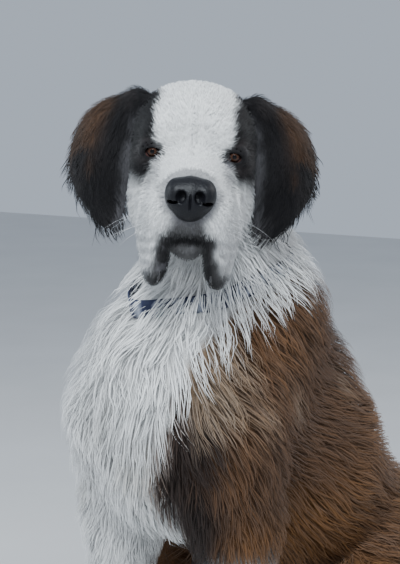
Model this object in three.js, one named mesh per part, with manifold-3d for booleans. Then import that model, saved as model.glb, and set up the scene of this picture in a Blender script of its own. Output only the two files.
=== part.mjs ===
// A Saint Bernard, adult and long-coated, sitting with its head turned to its left. Life size, in millimetres.
// +Z is up, the dog faces -Y, its left side is +X, and it sits on the floor at z = 0.
// Its flesh is a field of distances to smooth forms, each with its coat's depth, and the field is meshed part by part.

import * as THREE from "three";
import { mergeVertices } from "three/addons/utils/BufferGeometryUtils.js";
import Module from "manifold-3d";

const wasm = await Module();
wasm.setup();

// Driving dimensions

const GAP = 0.3; // between nodes that touch
const EYE_HEIGHT = 880; // above the floor
const HEAD_PLACE = [30, -165, EYE_HEIGHT]; // midway between the ears, on the eye line
const HEAD_TURN = 33; // degrees, towards the dog's left
const HEAD_NOD = 2; // degrees, muzzle down
const HEAD_TILT = 4; // degrees, crown towards its right
const EYE_PLACE = [51, -58, 0]; // in the head's frame
const EYE_RADIUS = 13;
const FORELEG_APART = 84; // from the middle to each foreleg
const HINDLEG_APART = 172; // from the middle to each hind foot
const CORE_SHARE = 0.5; // how much of a long coat's depth is in the core under its locks
const LOCK = { apart: 118, long: 170, wide: 94, thick: 15, sunk: 10 };
const EAR_LOCK = { long: 52, wide: 36, thick: 6, rows: [2, 4, 5, 6], way: [0, 0.1, -0.75] };

// Vectors

const add = (a, b) => [a[0] + b[0], a[1] + b[1], a[2] + b[2]];
const sub = (a, b) => [a[0] - b[0], a[1] - b[1], a[2] - b[2]];
const times = (a, s) => [a[0] * s, a[1] * s, a[2] * s];
const dot = (a, b) => a[0] * b[0] + a[1] * b[1] + a[2] * b[2];
const cross = (a, b) => [a[1] * b[2] - a[2] * b[1], a[2] * b[0] - a[0] * b[2], a[0] * b[1] - a[1] * b[0]];
const unit = (a) => times(a, 1 / (Math.hypot(...a) || 1));
const mix = (a, b, t) => a + (b - a) * t;
const between = (a, b, t) => a.map((x, i) => mix(x, b[i], t));
const clamp = (x, low, high) => Math.min(high, Math.max(low, x));
const mirrored = (p, side) => [p[0] * side, p[1], p[2]];

// Forms. A bone runs between two points with an elliptical section. Its hair lies along it, or as lie says.

function bone(name, from, to, fromSize, toSize, coat, blend, lie = null) {
  const along = unit(sub(to, from));
  const up = unit(cross([1, 0, 0], along));
  const side = cross(along, up);
  return { name, from, to, fromSize, toSize, coat, blend, along, up, side, lie: unit(lie ?? along) };
}

// A ball has its own radii along x, y and z.
function ball(name, centre, radii, coat, blend, lie) {
  return { name, centre, radii, coat, blend, lie: unit(lie) };
}

function ellipsoid(q, radii) {
  const near = Math.hypot(...q.map((x, i) => x / radii[i]));
  const slope = Math.hypot(...q.map((x, i) => x / radii[i] ** 2));
  return slope > 1e-9 ? (near * (near - 1)) / slope : -Math.min(...radii);
}

function distanceTo(form, p) {
  if (form.radii) return ellipsoid(sub(p, form.centre), form.radii);
  const line = sub(form.to, form.from);
  const t = clamp(dot(sub(p, form.from), line) / dot(line, line), 0, 1);
  const q = sub(p, between(form.from, form.to, t));
  const [wide, deep] = between(form.fromSize, form.toSize, t);
  return ellipsoid([dot(q, form.side), dot(q, form.up), dot(q, form.along)], [wide, deep, (wide + deep) / 2]);
}

function smoothMin(a, b, k) {
  const h = Math.max(k - Math.abs(a - b), 0) / k;
  return Math.min(a, b) - (h * h * k) / 4;
}

// The head's own frame: x to the dog's left, -y forward, z up. Its forms are folded onto the left side.

const radians = THREE.MathUtils.degToRad;
const headMatrix = new THREE.Matrix4()
  .makeTranslation(...HEAD_PLACE)
  .multiply(new THREE.Matrix4().makeRotationZ(radians(HEAD_TURN)))
  .multiply(new THREE.Matrix4().makeRotationY(radians(HEAD_TILT)))
  .multiply(new THREE.Matrix4().makeRotationX(radians(HEAD_NOD)));
const headInverse = headMatrix.clone().invert();
const moved = (p, matrix) => new THREE.Vector3(...p).applyMatrix4(matrix).toArray();

const headPoint = (p) => moved(p, headMatrix);
const headWay = (v) => sub(headPoint(v), headPoint([0, 0, 0]));

const BACKWARD = [0, 1, -0.1];
const HEAD_FORMS = [
  ball("skull", [0, 12, 16], [76, 88, 56], 6, 20, BACKWARD),
  ball("crown", [0, 2, 42], [60, 70, 36], 7, 30, BACKWARD),
  ball("cheek", [48, -10, -44], [28, 58, 60], 7, 30, [0.2, 1, -0.6]),
  ball("cheekbone", [44, -42, -22], [26, 28, 22], 4, 22, [0.2, 0.6, -0.8]),
  ball("brow", [34, -52, 22], [25, 20, 19], 4, 20, [0.3, 0.4, 1]),
  bone("bridge", [0, -138, -36], [0, -66, -20], [31, 22], [36, 28], 3, 20),
  bone("muzzle", [0, -130, -62], [0, -80, -58], [44, 38], [48, 44], 4, 22),
  bone("lip", [34, -134, -74], [42, -84, -86], [18, 34], [19, 42], 4, 18),
  bone("flew", [35, -134, -106], [42, -100, -114], [13, 40], [13, 40], 4, 14),
  bone("throat root", [0, -50, -84], [0, 30, -70], [46, 34], [62, 56], 14, 40),
];

const JAW_FORMS = [
  bone("jaw", [0, -134, -104], [0, -70, -96], [20, 18], [28, 24], 4, 12),
];

const NOSE_FORMS = [
  ball("nose pad", [0, -163, -42], [25, 24, 25], 0, 8, BACKWARD),
  ball("nose wing", [18, -163, -38], [13, 21, 18], 0, 8, BACKWARD),
];

// The body, folded onto the dog's left.

const BODY_FORMS = [
  bone("ribs", [0, -100, 525], [0, 90, 410], [108, 140], [124, 145], 38, 60),
  bone("forechest", [0, -185, 580], [0, -165, 460], [68, 66], [70, 66], 42, 60),
  bone("withers", [0, -40, 655], [0, 65, 540], [88, 90], [100, 106], 38, 60),
  bone("loin", [0, 90, 410], [0, 240, 270], [120, 138], [124, 128], 38, 60),
  bone("rump", [0, 220, 235], [0, 290, 150], [138, 138], [118, 112], 38, 60),
  bone("shoulder", [64, -30, 640], [76, -168, 520], [48, 66], [48, 66], 34, 50, [0.15, 0.4, -1]),
  bone("upper arm", [78, -172, 520], [92, -150, 385], [44, 62], [38, 54], 30, 45),
  bone("forearm", [92, -150, 380], [FORELEG_APART, -196, 140], [37, 46], [29, 33], 15, 30),
  bone("pastern", [FORELEG_APART, -196, 140], [FORELEG_APART, -216, 50], [31, 34], [34, 34], 9, 24),
  bone("thigh", [104, 240, 235], [172, 80, 205], [84, 110], [66, 82], 36, 50, [0.2, 0.35, -1]),
  bone("shank", [174, 70, 190], [160, 215, 66], [52, 54], [33, 37], 18, 34),
  bone("hock", [162, 222, 44], [HINDLEG_APART, 90, 38], [29, 34], [31, 30], 11, 26),
];

// A foot, its middle at the origin of x and y, pointing forwards, folded onto its own left.
const FOOT_FORMS = [
  bone("instep", [0, 34, 52], [0, -14, 36], [32, 32], [34, 26], 8, 18),
  ball("inner toe", [12, -36, 24], [13, 26, 20], 5, 8, [0, -1, -0.3]),
  ball("outer toe", [31, -22, 22], [13, 26, 19], 5, 8, [0.2, -1, -0.3]),
  ball("pad", [0, 0, 16], [34, 34, 20], 4, 16, [0, -1, 0]),
];
const FOREFEET = { name: "front_paw", apart: FORELEG_APART, y: -226, splay: 4, size: 1, cut: 96 };
const HINDFEET = { name: "hind_paw", apart: HINDLEG_APART + 2, y: 62, splay: 10, size: 0.94, cut: 82 };

const NECK_FORMS = [
  bone("nape", [10, -84, 806], [0, -36, 670], [58, 62], [90, 92], 38, 60),
  bone("throat", [34, -146, 742], [0, -180, 600], [56, 54], [80, 68], 40, 60),
];

const TAIL_ROUTE = [
  [0, 370, 112],
  [22, 446, 60],
  [90, 494, 48],
  [186, 492, 44],
  [268, 440, 40],
];
const TAIL_SIZES = [38, 30, 24, 19, 12];
const TAIL_COATS = [34, 36, 38, 38, 36];
const TAIL_FORMS = TAIL_ROUTE.slice(1).map((end, i) => {
  const [from, to] = [TAIL_SIZES[i], TAIL_SIZES[i + 1]];
  return bone("tail " + i, TAIL_ROUTE[i], end, [from, from], [to, to], TAIL_COATS[i + 1], 40);
});

// Distance to some forms, smoothly joined. Each form keeps its own distance for the coat.
function joined(forms, p) {
  let d = null;
  for (const form of forms) {
    form.last = distanceTo(form, p);
    d = d === null ? form.last : smoothMin(d, form.last, form.blend);
  }
  return d;
}

const COAT_SPREAD = 14; // how far one form's coat depth runs over its neighbours

// The mean of a number of the forms at p, each weighted by how near it is.
function meanOf(forms, value) {
  const near = Math.min(...forms.map((f) => f.last));
  let total = 0;
  let sum = 0;
  for (const form of forms) {
    const w = Math.exp((near - form.last) / COAT_SPREAD);
    total += w;
    sum += w * value(form);
  }
  return sum / total;
}

const folded = (p) => [Math.abs(p[0]), p[1], p[2]];
const TRUNK = [...BODY_FORMS, ...NECK_FORMS, ...TAIL_FORMS];
const FLESH = [...TRUNK, ...HEAD_FORMS];
const coatAt = (form) => form.coat;

// Distance to the skin of the whole dog but for its feet, jaw, nose and ears.
function skinField(p) {
  const trunk = smoothMin(joined(BODY_FORMS, folded(p)), joined(NECK_FORMS, p), 60);
  const body = smoothMin(trunk, joined(TAIL_FORMS, p), 30);
  const head = joined(HEAD_FORMS, folded(moved(p, headInverse)));
  return smoothMin(body, head, 22);
}

// Short coat is whole in the core, and long coat is half in it, with its locks standing on that.
const SHORT_COAT = 10;
const LONG_COAT = 24;

function coreDepth(coat) {
  return coat * mix(1, CORE_SHARE, THREE.MathUtils.smoothstep(coat, SHORT_COAT, LONG_COAT));
}

function coreField(p) {
  return skinField(p) - coreDepth(meanOf(FLESH, coatAt));
}

// The way the hair lies at p, from the forms that skinField measured last.
function lieAt(p) {
  const side = Math.sign(moved(p, headInverse)[0]) || 1;
  const ways = (form) => {
    if (HEAD_FORMS.includes(form)) return headWay(mirrored(form.lie, side));
    return BODY_FORMS.includes(form) ? mirrored(form.lie, Math.sign(p[0]) || 1) : form.lie;
  };
  return unit([0, 1, 2].map((i) => meanOf(FLESH, (form) => ways(form)[i])));
}

const footTurn = (foot, side) =>
  new THREE.Matrix4()
    .makeTranslation(foot.apart * side, foot.y, 0)
    .multiply(new THREE.Matrix4().makeRotationZ(radians(foot.splay * side)))
    .multiply(new THREE.Matrix4().makeScale(foot.size, foot.size, foot.size));

// Meshes. A field is meshed on a lattice: each cell it passes through has one corner for each sheet inside.

const CORNERS = [0, 1, 2, 3, 4, 5, 6, 7].map((n) => [n & 1, (n >> 1) & 1, n >> 2]);
const PAIRS = CORNERS.flatMap((_, i) => CORNERS.map((_, j) => [i, j]));
const EDGES = PAIRS.filter(([i, j]) => j > i && Math.hypot(...sub(CORNERS[i], CORNERS[j])) === 1);
const edgeOf = new Map(EDGES.map(([i, j], n) => [i * 8 + j, n]));
const SIDES_OF_CELL = [0, 1, 2].flatMap((axis) => [0, 1].map((end) => (corner) => CORNERS[corner][axis] === end));

function steps(from, to, step) {
  const count = Math.ceil((to - from) / step);
  return Array.from({ length: count + 1 }, (_, i) => from + i * step);
}

// The crossed edges of a cell, sorted into sheets. Where a side is crossed four times, each inside corner is cut off.
function sheetsIn(values) {
  const inside = values.map((v) => v < 0);
  const crossed = EDGES.map(([i, j], n) => (inside[i] !== inside[j] ? n : -1)).filter((n) => n >= 0);
  const sheet = new Map(crossed.map((n) => [n, n]));
  const link = (a, b) => {
    const [keep, drop] = [sheet.get(a), sheet.get(b)];
    for (const n of crossed) if (sheet.get(n) === drop) sheet.set(n, keep);
  };
  for (const holds of SIDES_OF_CELL) {
    const here = crossed.filter((n) => EDGES[n].every(holds));
    if (here.length === 2) link(...here);
    if (here.length < 4) continue;
    for (let corner = 0; corner < 8; corner++) {
      if (inside[corner] && holds(corner)) link(...here.filter((n) => EDGES[n].includes(corner)));
    }
  }
  const sheets = new Map();
  for (const n of crossed) sheets.set(sheet.get(n), [...(sheets.get(sheet.get(n)) ?? []), n]);
  return [...sheets.values()];
}

function meshed(distance, low, high, step) {
  const axes = [0, 1, 2].map((i) => steps(low[i], high[i], step));
  const [nx, ny, nz] = axes.map((a) => a.length);
  const at = ([i, j, k]) => (k * ny + j) * nx + i;
  const values = new Float64Array(nx * ny * nz);
  const places = [];
  for (let k = 0; k < nz; k++) {
    for (let j = 0; j < ny; j++) {
      for (let i = 0; i < nx; i++) {
        values[at([i, j, k])] = distance([axes[0][i], axes[1][j], axes[2][k]]);
        if (i < nx - 1 && j < ny - 1 && k < nz - 1) places.push([i, j, k]);
      }
    }
  }
  const points = [];
  const named = new Map();
  for (const place of places) {
    const corners = CORNERS.map((c) => values[at(add(place, c))]);
    if (corners.every((v) => v < 0) || corners.every((v) => v >= 0)) continue;
    for (const sheet of sheetsIn(corners)) {
      const cuts = sheet.map((n) => {
        const [i, j] = EDGES[n];
        return between(CORNERS[i], CORNERS[j], corners[i] / (corners[i] - corners[j]));
      });
      const middle = times(cuts.reduce(add), 1 / cuts.length);
      const point = middle.map((x, i) => mix(axes[i][place[i]], axes[i][place[i] + 1], x));
      const name = points.push(point) - 1;
      for (const n of sheet) named.set(at(place) * EDGES.length + n, name);
    }
  }
  const faces = [];
  const number = (o) => -o[0] - 2 * o[1] - 4 * o[2];
  for (const place of places) {
    if (Math.min(...place) < 1) continue;
    const inside = values[at(place)] < 0;
    for (const axis of [0, 1, 2]) {
      const ahead = [0, 1, 2].map((i) => Number(i === axis));
      if (inside === values[at(add(place, ahead))] < 0) continue;
      const u = [0, 1, 2].map((i) => -Number(i === (axis + 1) % 3));
      const v = [0, 1, 2].map((i) => -Number(i === (axis + 2) % 3));
      const ring = [add(u, v), v, [0, 0, 0], u].map((o) => {
        const edge = edgeOf.get(number(o) * 8 + number(o) + (1 << axis));
        return named.get(at(add(place, o)) * EDGES.length + edge);
      });
      const [a, b, c, d] = inside ? ring : ring.reverse();
      const short = Math.hypot(...sub(points[a], points[c])) < Math.hypot(...sub(points[b], points[d]));
      faces.push(...(short ? [a, b, c, a, c, d] : [b, c, d, b, d, a]));
    }
  }
  return solid(points, faces);
}

// Solids

function solid(points, faces) {
  const mesh = new wasm.Mesh({
    numProp: 3,
    vertProperties: Float32Array.from(points.flat()),
    triVerts: Uint32Array.from(faces),
  });
  return new wasm.Manifold(mesh);
}

function shaped(geometry, matrix = new THREE.Matrix4()) {
  const plain = new THREE.BufferGeometry();
  plain.setAttribute("position", geometry.getAttribute("position").clone());
  plain.setIndex(geometry.index);
  plain.applyMatrix4(matrix);
  const merged = mergeVertices(plain, 1e-4);
  const p = merged.getAttribute("position");
  const index = merged.index.array;
  const faces = [];
  for (let i = 0; i < index.length; i += 3) {
    const [a, b, c] = index.slice(i, i + 3);
    if (a !== b && b !== c && c !== a) faces.push(a, b, c);
  }
  const points = Array.from({ length: p.count }, (_, i) => [p.getX(i), p.getY(i), p.getZ(i)]);
  return solid(points, faces);
}

const scaled = (x, y, z) => new THREE.Matrix4().makeScale(x, y, z);
const placed = (p, matrix = new THREE.Matrix4()) => new THREE.Matrix4().makeTranslation(...p).multiply(matrix);
const egg = (centre, radii, across, down) =>
  shaped(new THREE.SphereGeometry(1, across, down), placed(centre, scaled(...radii)));

function largest(body) {
  const pieces = body.decompose();
  return pieces.reduce((a, b) => (b.volume() > a.volume() ? b : a));
}

const moveAll = (body, matrix) => body.transform(matrix.toArray());

// A solid with its surface moved out by a distance, or further at its sharp corners.
const SHARPEST = 0.35; // cosine between a corner's normal and the faces round it

function grown(body, gap = GAP) {
  const mesh = body.getMesh();
  const count = mesh.vertProperties.length / mesh.numProp;
  const at = (i) => [...mesh.vertProperties.slice(i * mesh.numProp, i * mesh.numProp + 3)];
  const points = Array.from({ length: count }, (_, i) => at(i));
  const round = points.map(() => []);
  for (let t = 0; t < mesh.triVerts.length; t += 3) {
    const ids = [...mesh.triVerts.slice(t, t + 3)];
    const [a, b, c] = ids.map((i) => points[i]);
    const normal = unit(cross(sub(b, a), sub(c, a)));
    ids.forEach((id, i) => {
      const [near, far] = [points[ids[(i + 1) % 3]], points[ids[(i + 2) % 3]]];
      const angle = Math.acos(clamp(dot(unit(sub(near, points[id])), unit(sub(far, points[id]))), -1, 1));
      round[id].push({ normal, angle });
    });
  }
  const out = points.map((p, i) => {
    const normal = unit(round[i].map((f) => times(f.normal, f.angle)).reduce(add));
    const least = Math.min(...round[i].map((f) => dot(f.normal, normal)));
    return add(p, times(normal, gap / clamp(least, SHARPEST, 1)));
  });
  return solid(out, [...mesh.triVerts]);
}

// A region is where every one of its planes has the point below it. A plane is a normal and a point on it.
const REACH = 3000; // more than the dog's size
const plane = (normal, through) => ({ normal: unit(normal), offset: dot(unit(normal), through) });

function region(planes, gap) {
  let cell = shaped(new THREE.BoxGeometry(REACH, REACH, REACH));
  for (const { normal, offset } of planes) cell = cell.trimByPlane(times(normal, -1), -offset - gap);
  return cell;
}

// Rows of rings joined into a closed skin, with a fan over each end.
function lofted(rows) {
  const ring = rows[0].length;
  const centre = (row) => times(row.reduce(add), 1 / ring);
  const points = [...rows.flat(), centre(rows[0]), centre(rows.at(-1))];
  const [first, last] = [points.length - 2, points.length - 1];
  const faces = [];
  for (let j = 0; j < ring; j++) {
    const k = (j + 1) % ring;
    for (let i = 0; i < rows.length - 1; i++) {
      const [a, b, c, d] = [i * ring + j, i * ring + k, (i + 1) * ring + k, (i + 1) * ring + j];
      faces.push(a, b, c, a, c, d);
    }
    const end = (rows.length - 1) * ring;
    faces.push(first, k, j, last, end + j, end + k);
  }
  const body = solid(points, faces);
  return body.volume() > 0 ? body : solid(points, faces.reverse());
}

// Colours

const WHITE = { color: 0xd9dde0, metalness: 0, roughness: 0.9 };
const BROWN = { color: 0x6b543f, metalness: 0, roughness: 0.9 };
const DARK = { color: 0x28221f, metalness: 0, roughness: 0.85 };
const BLACK = { color: 0x17181c, metalness: 0, roughness: 0.45 };
const EYE = { color: 0x3d2417, metalness: 0, roughness: 0.15 };
const NAVY = { color: 0x232c4d, metalness: 0, roughness: 0.8 };

const nodes = [];
const node = (name, body, look) => nodes.push({ name, body, look });

// The trunk is carved into nodes, each taken off what is left of it.

const BODY_STEP = 53;
const HEAD_STEP = 15.5;
const floored = (body) => body.trimByPlane([0, 0, 1], 0);

let rest = floored(meshed(coreField, [-330, -430, -70], [350, 620, 1010], BODY_STEP));

function take(...planes) {
  const piece = rest.intersect(region(planes, 0));
  rest = rest.subtract(region(planes, GAP));
  return largest(piece);
}

const HEAD_CUT = plane(headWay([0, 0.464, -0.886]), headPoint([0, 44, -84]));
const CUT_MARGIN = 15; // how far a part is meshed beyond its cut
rest = rest.subtract(region([HEAD_CUT], GAP));

const TAIL_CUT = plane([0, -0.8, 0.6], [0, 424, 66]);
const trunk = rest.subtract(region([TAIL_CUT], GAP));
rest = rest.intersect(region([TAIL_CUT], 0));
const along = (i) => unit(sub(TAIL_ROUTE[i + 1], TAIL_ROUTE[i - 1]));
node("tail_tip", take(plane(times(along(3), -1), TAIL_ROUTE[3])), WHITE);
node("tail_middle", take(plane(times(along(2), -1), TAIL_ROUTE[2])), BROWN);
node("tail_base", largest(rest), BROWN);
rest = trunk;

const SIDES = { left: 1, right: -1 };
for (const [side, s] of Object.entries(SIDES)) {
  const outer = plane([-s, 0, 0], [0, 0, 0]);
  const front = plane([0, 1, 0], [0, -66, 0]);
  take(outer, front, plane([0, 0, 1], [0, 0, FOREFEET.cut]));
  node("forearm_" + side, take(outer, front, plane([0, 0.51, 0.86], [0, -140, 333])), WHITE);
  const arm = [plane([-s, 0, 0], [74 * s, 0, 0]), plane([0, 0.2, 1], [0, -150, 575]), plane([0, 1, 0.3], [0, -70, 450])];
  node("upper_arm_" + side, take(...arm), s > 0 ? BROWN : WHITE);
  const flank = plane([-s, 0, 0], [110 * s, 0, 0]);
  take(flank, plane([0, 1, 0], [0, 118, 0]), plane([0, 0, 1], [0, 0, HINDFEET.cut]));
  node("hock_" + side, take(flank, plane([0, 0, 1], [0, 0, 98])), WHITE);
  node("thigh_" + side, take(flank, plane([0, 0.35, 1], [0, 120, 365])), BROWN);
}

node("hips", take(plane([0, -0.73, 0.68], [0, 190, 300])), BROWN);
node("belly", take(plane([0, -0.73, 0.68], [0, -20, 440])), BROWN);
node("chest", take(plane([0, -0.35, 0.94], [0, -120, 655])), WHITE);
const neck = largest(rest);

// Feet: four toes each, with a claw at each toe's end.

const FOOT_STEP = 17;
const CLAW = { thick: 4.5, long: 17, from: [0, -24, 4], lean: 66 };

function foot(place, side, planes) {
  const matrix = footTurn(place, side);
  const distance = (p) => {
    const at = moved(p, matrix);
    const whole = smoothMin(joined(FOOT_FORMS, folded(p)) - meanOf(FOOT_FORMS, coatAt), coreField(at), 16);
    return Math.max(whole, ...planes.map((cut) => dot(at, cut.normal) - cut.offset - CUT_MARGIN));
  };
  const toes = FOOT_FORMS.filter((f) => f.name.endsWith("toe"));
  const parts = [moveAll(meshed(distance, [-90, -104, -44], [90, 132, 140], FOOT_STEP), matrix)];
  for (const toe of toes) {
    for (const s of [1, -1]) {
      const lean = new THREE.Matrix4().makeRotationX(radians(180 - CLAW.lean));
      const at = placed(mirrored(add(toe.centre, CLAW.from), s), lean);
      parts.push(moveAll(shaped(new THREE.ConeGeometry(CLAW.thick, CLAW.long, 4), at), matrix));
    }
  }
  const whole = wasm.Manifold.union(parts).intersect(region(planes, 0));
  return largest(floored(whole));
}

for (const [side, s] of Object.entries(SIDES)) {
  node("front_paw_" + side, foot(FOREFEET, s, [plane([0, 0, 1], [0, 0, FOREFEET.cut])]), WHITE);
  const ends = [plane([0, 0, 1], [0, 0, HINDFEET.cut]), plane([0, 1, 0], [0, 118, 0]), plane([-s, 0, 0], [110 * s, 0, 0])];
  node("hind_paw_" + side, foot(HINDFEET, s, ends), WHITE);
}

// Nose, with nostrils that sweep outwards and back.

const NOSE_STEP = 11;
const foldedField = (forms, share) => (p) => joined(forms, folded(p)) - share * meanOf(forms, coatAt);
let nose = meshed(foldedField(NOSE_FORMS, 1), [-42, -200, -80], [42, -130, -4], NOSE_STEP);
for (const s of [1, -1]) {
  const nostril = placed([12 * s, -186, -41], new THREE.Matrix4().makeRotationZ(radians(28 * s)));
  nose = nose.subtract(shaped(new THREE.SphereGeometry(1, 10, 6), nostril.multiply(scaled(6, 12, 8))));
  nose = nose.subtract(egg([22 * s, -178, -48], [9, 12, 3.5], 8, 5));
}
nose = largest(nose);

// Jaw, with its chin between the flews.

const jaw = meshed(foldedField(JAW_FORMS, 1), [-52, -180, -150], [52, -20, -50], 12);

// Ears. Each is a leaf that leaves the skull high up, folds down at once and cups towards the cheek.

const EAR = [
  { at: [56, 10, 62], across: [0.1, 1, -0.2], out: [0.8, 0, 0.6], half: 30, thick: 9 },
  { at: [76, 14, 66], across: [0.35, 0.93, -0.1], out: [0.5, -0.1, 0.86], half: 36, thick: 9 },
  { at: [98, 16, 54], across: [0.62, 0.78, 0], out: [0.7, -0.5, 0.5], half: 42, thick: 9 },
  { at: [114, 14, 28], across: [0.74, 0.67, 0], out: [0.66, -0.7, 0.2], half: 46, thick: 8 },
  { at: [123, 10, -6], across: [0.79, 0.61, 0], out: [0.61, -0.79, 0.06], half: 48, thick: 8 },
  { at: [125, 6, -42], across: [0.79, 0.61, 0], out: [0.61, -0.79, 0], half: 46, thick: 8 },
  { at: [120, 0, -72], across: [0.8, 0.6, 0.1], out: [0.6, -0.79, 0], half: 38, thick: 8 },
  { at: [113, -6, -95], across: [0.8, 0.58, 0.16], out: [0.58, -0.8, 0], half: 26, thick: 7 },
  { at: [109, -12, -108], across: [0.8, 0.56, 0.2], out: [0.56, -0.8, 0], half: 11, thick: 5 },
];
const EAR_CUP = 0.3; // how far its edges bend in, for each half width
const EAR_RING = 12;

function ear(side) {
  const rows = EAR.map(({ at, across, out, half, thick }) => {
    const row = [];
    for (let i = 0; i < EAR_RING; i++) {
      const angle = (i / EAR_RING) * Math.PI * 2;
      const u = Math.cos(angle);
      const bend = -EAR_CUP * half * u * u;
      const lift = Math.sin(angle) * thick * (Math.sin(angle) > 0 ? 1 : 0.6);
      row.push(add(at, add(times(unit(across), u * half), times(unit(out), bend + lift))));
    }
    return row;
  });
  const fringe = EAR_LOCK.rows.map((i) => {
    const { at, across, out, half } = EAR[i];
    const edge = add(at, add(times(unit(across), half * 0.75), times(unit(out), -EAR_CUP * half)));
    const way = unit(add(times(unit(across), 0.7), EAR_LOCK.way));
    const rows = [0, 0.5].map((s) => {
      const p = add(edge, times(way, EAR_LOCK.long * s));
      const wide = times(unit(cross(out, way)), EAR_LOCK.wide * (0.35 + 0.3 * s));
      return [add(p, wide), sub(p, wide), add(p, times(unit(out), EAR_LOCK.thick))];
    });
    return blade(rows, add(edge, times(way, EAR_LOCK.long)));
  });
  const whole = wasm.Manifold.union([lofted(rows), ...fringe]);
  return side > 0 ? whole : shapedMirror(whole);
}

// The same solid on the other side.
function shapedMirror(body) {
  const { vertProperties, triVerts, numProp } = body.getMesh();
  const points = Array.from({ length: vertProperties.length / numProp }, (_, i) => [
    ...vertProperties.slice(i * numProp, i * numProp + 3),
  ]);
  return solid(points.map((p) => mirrored(p, -1)), [...triVerts].reverse());
}

// Head. Lids stand round each eye, and the mouth line opens between the jaw and the flews.

function headField(p) {
  const at = headPoint(p);
  return Math.max(coreField(at), dot(at, HEAD_CUT.normal) - HEAD_CUT.offset - CUT_MARGIN);
}

let head = meshed(headField, [-170, -230, -270], [170, 250, 130], HEAD_STEP);
for (const s of [1, -1]) {
  const [x, y, z] = mirrored(EYE_PLACE, s);
  head = head.subtract(egg([x, y - 26, z], [18, 14, 12], 8, 5));
  const lids = egg([x, y, z], [18, 16.5, 16.5], 12, 7);
  const opening = placed([x, y - 18, z - 1], new THREE.Matrix4().makeRotationY(radians(8 * s)));
  head = head.add(lids.subtract(shaped(new THREE.SphereGeometry(1, 8, 5), opening.multiply(scaled(10.5, 12, 6.5)))));
  const ball = egg([x, y, z], [EYE_RADIUS, EYE_RADIUS, EYE_RADIUS], 12, 7);
  head = head.subtract(grown(ball));
  node("eye_" + (s > 0 ? "left" : "right"), moveAll(ball, headMatrix), EYE);
}
head = head.subtract(grown(nose)).subtract(grown(jaw));
head = largest(moveAll(head, headMatrix).intersect(region([HEAD_CUT], 0)));

node("head", head, WHITE);
node("nose", moveAll(nose, headMatrix), BLACK);
node("jaw", largest(moveAll(jaw, headMatrix).intersect(region([HEAD_CUT], 0))), WHITE);
// Collar, a band round the neck under the coat.

const COLLAR = { at: [14, -112, 705], tilt: [0, -0.2, 0.98], wide: 26, thick: 5, sides: 28 };

function collarRing(out) {
  const up = unit(COLLAR.tilt);
  const right = unit(cross(up, [0, 0, 1]));
  const ahead = cross(up, right);
  const ring = [];
  for (let i = 0; i < COLLAR.sides; i++) {
    const angle = (i / COLLAR.sides) * Math.PI * 2;
    const way = add(times(right, Math.cos(angle)), times(ahead, Math.sin(angle)));
    let r = 20;
    for (let n = 0; n < 40; n++) r -= coreField(add(COLLAR.at, times(way, r))) * 0.7;
    ring.push((height) => add(COLLAR.at, add(times(way, r + out), times(up, height))));
  }
  return ring;
}

function band(inner, outer, wide) {
  const [low, high] = [-wide / 2, wide / 2];
  const section = [
    [outer, low],
    [outer, high],
    [inner, high],
    [inner, low],
  ];
  const loops = section.map(([out, height]) => collarRing(out).map((at) => at(height)));
  const ring = COLLAR.sides;
  const faces = [];
  for (let side = 0; side < 4; side++) {
    for (let i = 0; i < ring; i++) {
      const j = (i + 1) % ring;
      const next = (side + 1) % 4;
      const [a, b, c, d] = [side * ring + i, side * ring + j, next * ring + j, next * ring + i];
      faces.push(a, b, c, a, c, d);
    }
  }
  const body = solid(loops.flat(), faces);
  return body.volume() > 0 ? body : solid(loops.flat(), faces.reverse());
}

const collar = band(0, COLLAR.thick, COLLAR.wide);
node("collar", collar, NAVY);
node("neck", largest(neck.subtract(grown(collar))), WHITE);

// The ears lie on the head and the neck.

function cleared(body, ...others) {
  for (const other of others) body = body.subtract(grown(other));
  return largest(body);
}

for (const [side, s] of Object.entries(SIDES)) {
  node("ear_" + side, cleared(moveAll(ear(s), headMatrix), head, neck), DARK);
}

// Locks of the long coat. Each is a flat blade with a ridge, wide at first and pointed at its tip, that rises from the
// core to the coat's outline. They stand about LOCK.apart from each other.

function random(seed) {
  let state = seed;
  return () => {
    state = (Math.imul(state, 1664525) + 1013904223) >>> 0;
    return state / 2 ** 32;
  };
}

function slope(p) {
  const d = coreField(p);
  return unit([0, 1, 2].map((i) => coreField(p.map((x, j) => x + Number(i === j))) - d));
}

const LOCK_ROWS = [
  { along: 0, wide: 0.7, rise: 0 },
  { along: 0.5, wide: 1, rise: 0.85 },
];

// Rows of three points each, left, right and ridge, ending in one tip.
function blade(rows, tip) {
  const points = [...rows.flat(), tip];
  const faces = [2, 1, 0];
  for (let r = 0; r < rows.length - 1; r++) {
    for (let i = 0; i < 3; i++) {
      const [a, b] = [r * 3 + i, r * 3 + ((i + 1) % 3)];
      faces.push(a, b, b + 3, a, b + 3, a + 3);
    }
  }
  const last = (rows.length - 1) * 3;
  for (let i = 0; i < 3; i++) faces.push(last + i, last + ((i + 1) % 3), points.length - 1);
  const body = solid(points, faces);
  return body.volume() > 0 ? body : solid(points, faces.reverse());
}

// The ridge line of a lock: points, the normals there and the way it goes.
function lockLine(root, coat, draw) {
  const way = lieAt(root);
  const normal = slope(root);
  const sway = times(cross(normal, way), (draw() - 0.5) * 0.5);
  const flat = unit(sub(add(way, sway), times(normal, dot(way, normal))));
  const length = LOCK.long * mix(0.8, 1.1, draw()) * clamp(coat / 40, 0.6, 1.1);
  const top = coat - coreDepth(coat);
  return [...LOCK_ROWS, { along: 1, wide: 0, rise: 1 }].map(({ along, wide, rise }) => {
    let p = add(root, times(flat, length * along));
    const height = rise ? top * rise * mix(0.92, 1.02, draw()) : -LOCK.sunk;
    for (let i = 0; i < 2; i++) p = add(p, times(slope(p), height - coreField(p)));
    return { p, normal: slope(p), flat, wide };
  });
}

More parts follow.
